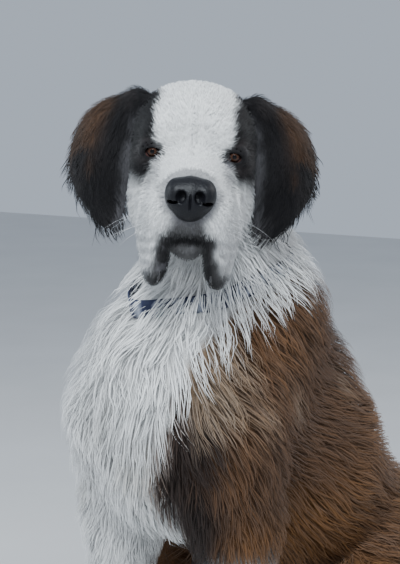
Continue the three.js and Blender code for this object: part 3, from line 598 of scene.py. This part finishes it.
def ear(side, along=49, around=32):
    """Points, faces and hair of one ear, in the dog's frame."""
    flat = np.array([[*at, *across, *out, half, thick] for at, across, out, half, thick in EAR_ROWS], float)
    t = np.linspace(0, len(flat) - 1, along)
    i = np.clip(t.astype(int), 0, len(flat) - 2)
    f = (t - i)[:, None]
    before, after = np.maximum(i - 1, 0), np.minimum(i + 2, len(flat) - 1)
    a, b, c, d = flat[before], flat[i], flat[i + 1], flat[after]
    rows = 2 * b + (c - a) * f + (2 * a - 5 * b + 4 * c - d) * f**2 + (3 * b - a - 3 * c + d) * f**3
    rows = 0.5 * rows
    at, across, out = rows[:, :3], unit(rows[:, 3:6]), unit(rows[:, 6:9])
    middle = step(0.5, 3, t) * (1 - step(6, 8, t))
    half, thick = rows[:, 9] - 4 + 9 * middle, rows[:, 10] * 0.55
    at = at + across * (7 * middle)[:, None]
    half[-1], thick[-1] = 0.5, 0.3
    angle = np.linspace(0, 2 * math.pi, around, endpoint=False)
    u, s = np.cos(angle), np.sin(angle)
    rise = -0.3 * half[:, None] * u**2 + np.where(s > 0, s, 0.6 * s) * thick[:, None]
    ripple = 1.6 * np.sin(t[:, None] * 2.1 + 3 * u) * (1 - 0.4 * u**2)
    q = at[:, None] + across[:, None] * (u * half[:, None])[..., None]
    q = q + out[:, None] * (rise + ripple)[..., None]
    way = np.gradient(at, axis=0)
    outward = 0.75 * np.maximum(u, -0.3) * step(1, 4, t)[:, None]
    lie = unit(unit(way)[:, None] + across[:, None] * outward[..., None])
    share = (t / t[-1])[:, None] + 0 * u
    front = -u + 0 * share
    q, lie = q.reshape(-1, 3), lie.reshape(-1, 3)
    rag = 0.12 * noise(q, 12, 31)
    share, front = share.ravel(), front.ravel()
    tone = blend(BLACK, SABLE, 0.6 * step(-0.2, 0.6, noise(q, 30, 32)))
    brown = step(0.1, 0.3, share + rag) * (1 - step(0.42, 0.62, share + rag))
    brown = brown * (1 - step(-0.2, 0.35, front))
    tone = blend(tone, BROWN * 0.6, brown * 0.8)
    tone = blend(tone, GREY * 0.42, 0.8 * step(0.72, 0.9, front + rag) * step(0.2, 0.4, share))
    size = 14 + 14 * step(0.45, 1, share) + 12 * step(0.4, 1, -front) * step(0.1, 0.4, share)
    q[:, 0] *= side
    lie[:, 0] *= side
    faces = ring_faces(along, around)
    if side > 0:
        faces = faces[:, ::-1]
    return from_head(q), faces, lie @ HEAD_AXES.T, tone, size


def build_head():
    q, faces = lattice_mesh(head_skin, **HEAD_LATTICE)
    q = settle(head_skin, q)
    cap = past_cut(q) > HEAD_BEYOND - 2
    d = head_skin(q)
    normal = unit(np.stack([head_skin(q + np.eye(3)[i] * 0.8) - d for i in range(3)], 1))
    return q + normal * (wrinkles(q) * ~cap)[:, None], faces


def unwrap(skin, count):
    """Unwraps the skin by its own shape, and gives the place of each face's corners."""
    skin.data.uv_layers.new(name="OFBake")
    bpy.context.view_layer.objects.active = skin
    skin.select_set(True)
    bpy.ops.object.mode_set(mode="EDIT")
    bpy.ops.mesh.select_all(action="SELECT")
    bpy.ops.uv.smart_project(angle_limit=1.2, island_margin=0.002)
    bpy.ops.object.mode_set(mode="OBJECT")
    skin.select_set(False)
    uv = np.empty(count * 8, np.float32)
    skin.data.uv_layers["OFBake"].data.foreach_get("uv", uv)
    return uv.reshape(-1, 4, 2).astype(float)


def build_skin():
    """The skin of head, body and ears as one mesh, and what each of its points says about the hair."""
    q, head_faces = build_head()
    p, body_faces = lattice_mesh(body_skin, **BODY_LATTICE)
    p = settle(body_skin, p)
    points = np.concatenate([from_head(q), p])
    faces = np.concatenate([head_faces, body_faces + len(q)])
    d, coat, lie, on_head, local = coat_and_lie(points)
    tone = coat_colour(points, on_head, local)
    size = np.clip(LENGTH_SHARE * coat, SHORTEST, LONGEST)
    hidden = (d < -3) | (points[:, 2] < 4)
    hidden[:len(q)] |= (length_of(folded(q) - EYE_PLACE) < 17) & (q[:, 1] < -60)
    no = np.zeros_like(hidden)
    facts = dict(points=points, lie=lie, tone=tone, size=size, coat=coat, hidden=hidden, ear=no)
    for side in (1, -1):
        p, ear_faces, lie, tone, size = ear(side)
        faces = np.concatenate([faces, ear_faces + len(facts["points"])])
        yes = np.ones(len(p), bool)
        more = dict(points=p, lie=lie, tone=tone, size=size, coat=EAR_COAT * yes, hidden=~yes, ear=yes)
        facts = {name: np.concatenate([facts[name], more[name]]) for name in facts}
    skin = new_mesh("skin", metres(facts["points"]), faces)
    # The skin's colour is the coat's markings with painted shade
    paint(skin, facts["tone"] * SKIN_SHADE)
    uv = unwrap(skin, len(faces))
    normals = np.empty(len(facts["points"]) * 3, np.float32)
    skin.data.vertex_normals.foreach_get("vector", normals)
    facts.update(faces=faces, uv=uv, normals=normals.reshape(-1, 3).astype(float))
    return skin, facts


# Coat: tapered three-sided tufts, sown on the skin by area

TUFTS = 98000
TUFTS_IN_PIECE = 12800
ROWS = 3
ROW_AT = np.array([0.0, 0.36, 0.7, 1.0])
ROW_WIDE = np.array([0.75, 1.0, 0.72])
BLADE_POINTS = ROWS * 3 + 1
ROW_OF = np.repeat([0, 1, 2, 3], [3, 3, 3, 1])
# By the hair's length: how often the tufts cover the skin, and how many lead a clump
COVER = ([6.5, 9, 20, 50, 70], [0.95, 1.4, 2.2, 3.9, 4.4])
LEADERS = ([10, 30, 86], [0.3, 0.14, 0.07])
CLUMP_REACH = 26
UNDER_SHARE = 0.25
ROOT_DEPTH = 0.6
LEAST_HEIGHT = 1.2
PATCH = 0.003
# By brightness, where white coat turns to brown, and brown to dark
WHITE_FROM, BROWN_FROM = 0.22, 0.055
# How far across the view from the head's middle the collar shows
COLLAR_SHOWS_AT = -57


def blade_width(size):
    return 0.46 + 0.015 * size


def blade_faces():
    """Triangles of one tuft: its rows have three points each, and the last point is the tip."""
    out = []
    for row in range(ROWS - 1):
        for k in range(3):
            a, b = row * 3 + k, row * 3 + (k + 1) % 3
            out += [[a, b, b + 3], [a, b + 3, a + 3]]
    last = (ROWS - 1) * 3
    out += [[last + k, last + (k + 1) % 3, BLADE_POINTS - 1] for k in range(3)]
    return np.array(out)[:, ::-1]


def sow(skin):
    """The tufts' roots, with what the skin says at each. Few grow under the belly and before the collar."""
    faces = skin["faces"]
    corners = skin["points"][faces]
    area = length_of(np.cross(corners[:, 2] - corners[:, 0], corners[:, 3] - corners[:, 1])) / 2
    size = skin["size"][faces].mean(1)
    want = area * np.interp(size, *COVER) / (size * blade_width(size))
    want[skin["hidden"][faces].any(1)] = 0
    middle = corners.mean(1)
    x, y, z = middle.T
    want[(np.abs(x) < 60) & (z < 260) & (y > -100) & (y < 180)] *= UNDER_SHARE
    bare = np.exp(-((((middle - HEAD_PLACE) @ RIGHT - COLLAR_SHOWS_AT) / 16) ** 2))
    bare *= (np.abs((middle - COLLAR_AT) @ COLLAR_TILT - 16) < 26) * (y < -120)
    want *= 1 - 0.75 * bare
    pick = np.searchsorted(np.cumsum(want), rng.random(TUFTS) * want.sum())
    pick = np.minimum(pick, len(faces) - 1)
    a, b = rng.random((2, TUFTS))
    weight = np.stack([(1 - a) * (1 - b), a * (1 - b), a * b, (1 - a) * b], 1)

    def at(name):
        got = skin[name][faces[pick]]
        return (got * weight[..., None]).sum(1) if got.ndim == 3 else (got * weight).sum(1)

    tufts = {name: at(name) for name in ("points", "lie", "tone", "size", "coat")}
    tufts["normals"] = unit(at("normals"))
    tufts["ear"] = skin["ear"][faces[pick]].any(1)
    tufts["uv"] = (skin["uv"][pick] * weight[..., None]).sum(1)
    return tufts


def comb(tufts):
    """Lays each tuft along the coat: its middle line from root to tip, the way across it, width and layer."""
    root, normal, size, is_ear = (tufts[name] for name in ("points", "normals", "size", "ear"))
    sway = np.stack([noise(root, 70, s) for s in (41, 42, 43)], 1) * 0.45
    sway += np.stack([noise(root, 24, s) for s in (44, 45, 46)], 1) * 0.25
    sway *= step(8, 40, size)[:, None]
    lie = unit(tufts["lie"] + sway + rng.normal(0, 0.13, root.shape))
    lie = unit(lie - normal * (lie * normal).sum(1)[:, None])
    across = np.cross(lie, normal)
    long = size * rng.uniform(0.7, 1.15, TUFTS)
    thick = blade_width(size) * rng.uniform(0.7, 1.25, TUFTS)
    low = rng.random(TUFTS) < 0.4
    layer = np.where(low, rng.uniform(0.35, 0.65, TUFTS), rng.uniform(0.66, 0.97, TUFTS))
    top = tufts["coat"] * layer
    top[is_ear] = rng.uniform(1.5, 4.5, is_ear.sum())
    phase = 5 * noise(root, 34, 51)
    rows = [root - normal * ROOT_DEPTH]
    for s in ROW_AT[1:]:
        bend = 0.05 * long * np.sin(phase + 5.0 * s) * s * step(20, 60, size)
        q = root + lie * (long * s)[:, None] + across * bend[:, None]
        height = top * (1 - (1 - s) ** 1.7) * (1 - 0.12 * s)
        lift = np.where(is_ear, height, np.clip(height - measure(q), -0.6 * long, 0.6 * long))
        rows.append(q + normal * lift[:, None])
    return np.stack(rows, 1), across, thick, layer


def clump(rows, root, size):
    """Draws the tufts' outer halves together towards their leaders, and keeps all off the floor."""
    leaders = np.flatnonzero(rng.random(TUFTS) < np.interp(size, *LEADERS))
    tree = kdtree.KDTree(len(leaders))
    for k, i in enumerate(leaders):
        tree.insert(root[i], k)
    tree.balance()
    lead = leaders[[tree.find(p)[1] for p in root]]
    pull = rng.uniform(0.35, 0.75, TUFTS) * (length_of(root - root[lead]) < CLUMP_REACH)
    for r in (2, 3):
        share = (pull * ROW_AT[r] ** 2)[:, None]
        rows[:, r] += (rows[lead, r] - rows[:, r]) * share
    rows[..., 2] = np.maximum(rows[..., 2], LEAST_HEIGHT)


def blades(rows, across, normal, thick):
    """Points of every tuft, and soft normals that lean on the skin's own, so that the coat shades as one."""
    points = np.zeros((TUFTS, BLADE_POINTS, 3))
    for r in range(ROWS):
        half = (thick * ROW_WIDE[r] / 2)[:, None]
        points[:, r * 3] = rows[:, r] + across * half
        points[:, r * 3 + 1] = rows[:, r] + normal * half * 0.4
        points[:, r * 3 + 2] = rows[:, r] - across * half
    points[:, -1] = rows[:, -1]
    own = np.stack([across * 0.8, normal, -across * 0.8], 1)
    soft = np.concatenate([np.tile(own, (1, ROWS, 1)), normal[:, None]], 1) * 0.3 + normal[:, None] * 0.85
    return points, unit(soft)


def tint_and_shade_tufts(tone, layer, brightness):
    """Colours from root to tip, with painted shade: darker at the root and in the undercoat, a little lighter
    at the tip, and no two tufts quite alike.
    """
    # Painted shade: undercoat tufts are darker than the top layer, on top of a random tint for each tuft
    light = rng.normal(1, 0.055, TUFTS).clip(0.8, 1.2) * np.interp(layer, [0.35, 1], [0.9, 1.04])
    # Painted shade: this share darkens the root and the row above it, and the tip gets a little painted light
    deep = np.interp(brightness, [0.02, 0.5], [0.8, 0.84])
    shade = np.stack([deep, 0.5 + 0.5 * deep, np.ones(TUFTS), np.full(TUFTS, 1.06)], 1) * light[:, None]
    grey = tone.mean(1, keepdims=True)
    tone = tone + (grey - tone) * rng.uniform(0, 0.3, (TUFTS, 1))
    return (tone[:, None] * shade[:, ROW_OF][..., None]).clip(0, 1)


def grow_coat(skin):
    """The coat's pieces, each paired with a slot name that nothing reads."""
    tufts = sow(skin)
    rows, across, thick, layer = comb(tufts)
    clump(rows, tufts["points"], tufts["size"])
    points, soft = blades(rows, across, tufts["normals"], thick)
    brightness = tufts["tone"] @ [0.21, 0.72, 0.07]
    colours = tint_and_shade_tufts(tufts["tone"], layer, brightness)
    patch = np.stack([np.array([0, 0.5, 1] * 3 + [0.5]), ROW_OF / 3], 1) * PATCH
    uv = np.clip(tufts["uv"][:, None] + patch[None] - PATCH / 2, 0, 1)
    kind = np.where(brightness > WHITE_FROM, 0, np.where(brightness > BROWN_FROM, 1, 2))
    pieces = []
    for k, name in enumerate(["white", "brown", "dark"]):
        mine = np.flatnonzero(kind == k)
        mine = mine[np.argsort(tufts["points"][mine, 2])]
        for number, part in enumerate(np.array_split(mine, max(1, -(-len(mine) // TUFTS_IN_PIECE)))):
            faces = (np.arange(len(part))[:, None, None] * BLADE_POINTS + blade_faces()[None]).reshape(-1, 3)
            piece = new_mesh(f"coat_{name}_{number + 1}", metres(points[part].reshape(-1, 3)), faces)
            paint(piece, colours[part].reshape(-1, 3))
            piece.data.normals_split_custom_set_from_vertices(soft[part].reshape(-1, 3))
            flat = np.ascontiguousarray(uv[part].reshape(-1, 2)[faces.ravel()], np.float32)
            piece.data.uv_layers.new(name="OFBake").data.foreach_set("uv", flat.ravel())
            pieces.append((piece, f"{name}_coat"))
    return pieces


# Materials

def material(name, base=None, rough=0.6, bump=0.0, scale=600.0, spread=0.12, stretch=(1, 1, 1), **sockets):
    """Base is a colour, or None for the piece's own painted tone. A noise varies it and its relief."""
    m = bpy.data.materials.new(name)
    m.use_nodes = True
    nodes, links = m.node_tree.nodes, m.node_tree.links
    shader = nodes["Principled BSDF"]
    place = nodes.new("ShaderNodeTexCoord")
    fit = nodes.new("ShaderNodeMapping")
    fit.inputs["Scale"].default_value = stretch
    links.new(place.outputs["Object"], fit.inputs["Vector"])
    grain = nodes.new("ShaderNodeTexNoise")
    grain.inputs["Scale"].default_value = scale
    grain.inputs["Detail"].default_value = 4
    links.new(fit.outputs["Vector"], grain.inputs["Vector"])
    ramp = nodes.new("ShaderNodeMapRange")
    ramp.inputs["To Min"].default_value = 1 - spread
    ramp.inputs["To Max"].default_value = 1 + spread
    ramp.inputs["From Min"].default_value = 0.3
    ramp.inputs["From Max"].default_value = 0.7
    links.new(grain.outputs["Fac"], ramp.inputs["Value"])
    times = nodes.new("ShaderNodeVectorMath")
    times.operation = "SCALE"
    if base is None:
        tone = nodes.new("ShaderNodeAttribute")
        tone.attribute_name = "tone"
        links.new(tone.outputs["Color"], times.inputs[0])
    else:
        times.inputs[0].default_value = base
    links.new(ramp.outputs["Result"], times.inputs["Scale"])
    links.new(times.outputs["Vector"], shader.inputs["Base Color"])
    shader.inputs["Roughness"].default_value = rough
    if bump:
        relief = nodes.new("ShaderNodeBump")
        relief.inputs["Strength"].default_value = 1
        relief.inputs["Distance"].default_value = bump
        links.new(grain.outputs["Fac"], relief.inputs["Height"])
        links.new(relief.outputs["Normal"], shader.inputs["Normal"])
    for key, value in sockets.items():
        shader.inputs[key.replace("_", " ").title().replace("Ior", "IOR")].default_value = value
    return m


def dress(thing, m):
    thing.data.materials.clear()
    thing.data.materials.append(m)


def tube(path, radii, around=10, flat=1.0):
    """Points and faces of a closed tube along a path."""
    path, radii = np.array(path, float), np.array(radii, float)
    way = unit(np.gradient(path, axis=0))
    helper = np.array([0, 0, 1.0]) if abs(way[0][2]) < 0.8 else np.array([1.0, 0, 0])
    side = unit(np.cross(way, helper))
    up = np.cross(side, way)
    angle = np.linspace(0, 2 * math.pi, around, endpoint=False)
    ring = side[:, None] * np.cos(angle)[None, :, None]
    ring = ring + up[:, None] * (flat * np.sin(angle))[None, :, None]
    points = path[:, None] + ring * radii[:, None, None]
    return points.reshape(-1, 3), ring_faces(len(path), around)[:, [0, 3, 2, 1]]


def gather(name, parts):
    """One mesh from several sets of points and faces."""
    points, faces, count = [], [], 0
    for p, f in parts:
        points.append(p)
        faces.append(f + count)
        count += len(p)
    return new_mesh(name, metres(np.concatenate(points)), np.concatenate(faces))


# Colours of the small pieces

NOSE_TONE, HORN, WHISKER_TONE = colour(17, 17, 21), colour(74, 66, 60), colour(190, 190, 190)
IRIS, IRIS_RIM, PUPIL, EYE_RIM = colour(72, 45, 31), colour(36, 22, 17), colour(6, 6, 8), colour(18, 13, 13)
EYE_WHITE, HAW = colour(40, 30, 29), colour(120, 84, 80)
WEBBING, WEBBING_BAR = colour(30, 40, 74), colour(176, 182, 196)

# The skin and the coat

skin, facts = build_skin()
fur_skin = material(
    "skin_coat", None, 0.75, 0.0011, 420, 0.22, (1, 1, 0.45), sheen_weight=0.05, specular_ior_level=0.16
)
dress(skin, fur_skin)
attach(skin, "root")
LIMBS = ["upper_arm", "forearm", "front_paw", "thigh", "hock", "hind_paw", "ear"]
FLESH = ["head", "jaw", "neck", "chest", "belly", "hips", "tail_base", "tail_middle", "tail_tip"]
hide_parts(*FLESH, *[f"{name}_{side}" for name in LIMBS for side in ("left", "right")])
fur = material(
    "coat", None, 0.6, 0.0004, 900, 0.16, sheen_weight=0.06, sheen_roughness=0.4, specular_ior_level=0.16
)
for piece, slot in grow_coat(facts):
    dress(piece, fur)
    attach(piece, "root")

# Nose


def nose_field(q):
    f = folded(q)
    d = smooth_min(egg(f, [0, -163, -45], (25, 24, 28)), egg(f, [18, -163, -39], (13, 21, 18)), 8)
    hole = egg(f, [12, -186, -41], (6, 12, 8), turned(2, 28))
    slit = egg(f, [21, -178, -48], (7, 10, 2.6))
    groove = egg(f, [0, -190, -50], (1.6, 7, 18))
    return np.maximum(-smooth_min(-d, hole, 2), -np.minimum(slit, groove))


q, quads = lattice_mesh(nose_field, **NOSE_LATTICE)
nose = new_mesh("nose_leather", metres(from_head(settle(nose_field, q))), quads)
leather = material(
    "nose_leather", tuple(NOSE_TONE), 0.4, 0.0009, 520, 0.3,
    coat_weight=0.06, coat_roughness=0.3, specular_ior_level=0.2,
)
dress(nose, leather)
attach(nose, "root")
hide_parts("nose")

# Eyes: one ball each, with the iris and the haw in its colours, and a bulge over the iris

EYE_RINGS = 72


def eyeball(name, side):
    t = np.linspace(0.001, math.pi - 0.001, EYE_RINGS)
    a = np.linspace(0, 2 * math.pi, EYE_RINGS, endpoint=False)
    wide = np.sin(t)[:, None]
    way = np.stack([wide * np.cos(a), -np.cos(t)[:, None] + 0 * a, wide * np.sin(a)], -1)
    way = way.reshape(-1, 3) @ turned(2, -3 * side).T
    gaze = np.array([0.02 * side, -1, -0.03])
    off = np.degrees(np.arccos(np.clip(way @ unit(gaze), -1, 1)))
    p = way * (EYE_RADIUS - 0.25 + 0.9 * np.clip(1 - (off / 34) ** 2, 0, 1))[:, None]
    angle = np.arctan2(way[:, 2], way[:, 0])
    streak = 0.8 + 0.3 * noise(np.stack([angle * 9, off * 0.05, 0 * off], 1), 1, 61)
    iris = blend(IRIS, IRIS_RIM, step(14, 29, off)) * streak[:, None]
    c = blend(iris, PUPIL, 1 - step(11, 13.5, off))
    white = blend(EYE_WHITE, HAW, step(0.15, 0.4, -way[:, 2]))
    c = blend(c, EYE_RIM, step(29, 32, off) * (1 - step(34, 37, off)))
    c = blend(c, white, step(34, 37, off))
    points = metres(from_head(p + EYE_PLACE * [side, 1, 1]))
    eye = new_mesh(name, points, ring_faces(EYE_RINGS, EYE_RINGS))
    paint(eye, c)
    dress(eye, wet)
    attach(eye, "root")
    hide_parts("eye_left" if side > 0 else "eye_right")


wet = material("eye", None, 0.12, 0, 300, 0.08, coat_weight=0.2, coat_roughness=0.02, specular_ior_level=0.15)
eyeball("eyeball_left", 1)
eyeball("eyeball_right", -1)

# Wet black lips along the lower edges of the flews

BELOW_FLEWS = -184


def lowest(x, y):
    """The height of the flew's lower edge at a place in the head's frame."""
    z = BELOW_FLEWS
    for _ in range(60):
        d = measure(from_head(np.array([[x, y, z]])))[0]
        if d < 0.3:
            break
        z += max(0.5, 0.6 * d)
    return z


lips = []
for side in (1, -1):
    t = np.linspace(0, 1, 26)
    path = [[side * x, y, lowest(x, y) + 1.2] for x, y in zip(31 + 11 * t, -158 + 78 * t)]
    size = 3.4 * np.sin(math.pi * (0.06 + 0.9 * t)) ** 0.5 + 0.5 * np.sin(23 * t)
    p, f = tube(path, size, 12, 0.8)
    lips.append((from_head(p), f))
lip = gather("lips", lips)
dress(lip, material("lip_skin", tuple(LIP), 0.26, 0.0008, 380, 0.3, coat_weight=0.5, coat_roughness=0.15))
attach(lip, "root")

# Claws: one for each toe. Two of a foot's four toes are given, and the others mirror them

TOES = [[12, -36, 24], [31, -22, 22]]
CLAW_FROM_TOE = [0, -18, 2]

claws = []
for foot in FEET:
    for side in (1, -1):
        for toe, out in [(toe, out) for toe in TOES for out in (1, -1)]:
            k = np.linspace(0, 1, 9)[:, None]
            base = np.array(toe) * [out, 1, 1] + CLAW_FROM_TOE
            path = base + k * [0, -17, 1] + k**2 * [0, 1, -15]
            p, f = tube(path, 4.6 * (1 - k[:, 0] ** 1.6 * 0.93), 10, 1.1)
            p = (p * foot["size"]) @ turned(2, foot["splay"]).T + [foot["apart"], foot["y"], 0]
            p = p * [side, 1, 1]
            p[:, 2] = np.maximum(p[:, 2], 0.4)
            claws.append((p, f if side > 0 else f[:, ::-1]))
claw = gather("claws", claws)
dress(claw, material("claw_horn", tuple(HORN), 0.38, 0.0003, 260, 0.3, (1, 0.2, 1)))
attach(claw, "root")

# Whiskers

hairs = []
for side in (1, -1):
    for n in range(6):
        y = -150 + 13 * (n % 3) + rng.uniform(-3, 3)
        z = -70 - 13 * (n // 3) + rng.uniform(-3, 3)
        x = 30.0
        while measure(from_head(np.array([[x * side, y, z]])))[0] < 1 and x < 80:
            x += 1
        k = np.linspace(0, 1, 9)[:, None]
        path = np.array([x - 3, y, z]) + k * [46 + 8 * (n % 3), 4, -16] + k**2 * [-8, 14, -14]
        p, f = tube(path * [side, 1, 1], 0.27 * (1 - 0.85 * k[:, 0]), 6)
        hairs.append((from_head(p), f))
whiskers = gather("whiskers", hairs)
dress(whiskers, material("whisker", tuple(WHISKER_TONE), 0.4, 0.0001, 500, 0.2))
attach(whiskers, "root")

# Collar: a webbing band round the neck, under the coat except where it shows

COLLAR_SECTION = [
    (-13, 0), (-12.4, 1.2), (-6, 1.5), (0, 1.6), (6, 1.5), (12.4, 1.2),
    (13, 0), (12, -1.4), (0, -1.6), (-12, -1.4),
]

collar_x = unit(np.cross(COLLAR_TILT, [0, 1, 0]))
collar_y = np.cross(COLLAR_TILT, collar_x)
angle = np.linspace(0, 2 * math.pi, 160, endpoint=False)
rays = np.cos(angle)[:, None] * collar_x + np.sin(angle)[:, None] * collar_y
reach = np.full(len(angle), 40.0)
seen_at = (COLLAR_AT + rays * 110 - HEAD_PLACE) @ RIGHT
shown = 3 + 13 * np.exp(-(((seen_at - COLLAR_SHOWS_AT) / 17) ** 2)) * (rays[:, 1] < 0)
for _ in range(60):
    reach += np.maximum(shown - measure(COLLAR_AT + rays * reach[:, None]), -4) * 0.5
reach = sum(np.roll(reach, k) for k in range(-3, 4)) / 7
band = [COLLAR_AT + rays * (reach[:, None] + out) + COLLAR_TILT * up for up, out in COLLAR_SECTION]
band = np.stack(band, 1)
ids = np.arange(band.shape[0] * band.shape[1]).reshape(band.shape[:2])
right, down = np.roll(ids, -1, 0), np.roll(ids, -1, 1)
quads = np.stack([ids, right, np.roll(right, -1, 1), down], -1).reshape(-1, 4)
collar = new_mesh("collar_webbing", metres(band.reshape(-1, 3)), quads)
height = np.tile([up for up, _ in COLLAR_SECTION], len(angle))
along = np.repeat(angle * 90, len(COLLAR_SECTION))
stripe = step(0.1, 0.4, np.sin(along * 0.35)) * (np.abs(height) < 9)
weave = 0.85 + 0.15 * np.sin(along * 3.0)
paint(collar, blend(WEBBING, WEBBING_BAR, stripe * 0.85) * weave[:, None])
dress(collar, material("webbing", None, 0.7, 0.0005, 1400, 0.18, (1, 1, 3)))
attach(collar, "root")
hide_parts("collar")

# Camera at the photograph's place. It aims so that the eyes' middle lands where the photograph has it

ROUND, UP, AWAY = math.radians(33), math.radians(8), 2.0
MM_IN_PIXEL = 1.25
PHOTO_HEIGHT, PHOTO_MIDDLE, PHOTO_EYES = 564, (200, 282), (193.5, 153)
SENSOR = 36

back = np.array([math.sin(ROUND) * math.cos(UP), -math.cos(ROUND) * math.cos(UP), math.sin(UP)])
across = np.array([math.cos(ROUND), math.sin(ROUND), 0])
upward = np.cross(across, -back)
eyes = (from_head(EYE_PLACE[None]) + from_head((EYE_PLACE * [-1, 1, 1])[None]))[0] / 2
aim = eyes + across * (PHOTO_MIDDLE[0] - PHOTO_EYES[0]) * MM_IN_PIXEL
aim = aim - upward * (PHOTO_MIDDLE[1] - PHOTO_EYES[1]) * MM_IN_PIXEL
data = bpy.data.cameras.new("camera")
data.lens = SENSOR * AWAY / (PHOTO_HEIGHT * MM_IN_PIXEL / MM_IN_METRE)
data.sensor_width = SENSOR
camera = bpy.data.objects.new("camera", data)
bpy.context.scene.collection.objects.link(camera)
columns = np.stack([across, upward, back, metres(aim) + AWAY * back], 1)
camera.matrix_world = Matrix([*columns.tolist(), [0, 0, 0, 1]])
bpy.context.scene.camera = camera

# Floor and soft light

corners = np.array([[-6, -6, 0], [6, -6, 0], [6, 6, 0], [-6, 6, 0]])
floor = new_mesh("floor", corners, np.array([[0, 1, 2, 3]]), False)
dress(floor, material("pale_floor", (0.62, 0.62, 0.62), 0.7, 0, 3, 0.03))


def lamp(name, place, size, power, tint):
    """An area lamp aimed at the chest, in metres and watts."""
    data = bpy.data.lights.new(name, "AREA")
    data.size, data.energy, data.color = size, power, tint
    thing = bpy.data.objects.new(name, data)
    bpy.context.scene.collection.objects.link(thing)
    place = Vector(place)
    thing.location = place
    thing.rotation_euler = (Vector((0, 0, 0.6)) - place).to_track_quat("-Z", "Y").to_euler()


lamp("key", (0.9, -2.0, 2.9), 1.1, 135, (0.88, 0.95, 1.0))
lamp("catch", (1.05, -1.95, 1.42), 0.14, 3.2, (0.95, 0.98, 1.0))
lamp("left", (-2.4, -1.2, 1.6), 1.8, 34, (0.86, 0.94, 1.0))
lamp("behind", (1.6, 2.2, 2.4), 1.6, 34, (1.0, 0.98, 0.96))
world = bpy.data.worlds.new("studio")
world.use_nodes = True
world.node_tree.nodes["Background"].inputs["Color"].default_value = (0.72, 0.82, 0.96, 1)
world.node_tree.nodes["Background"].inputs["Strength"].default_value = 0.62
bpy.context.scene.world = world
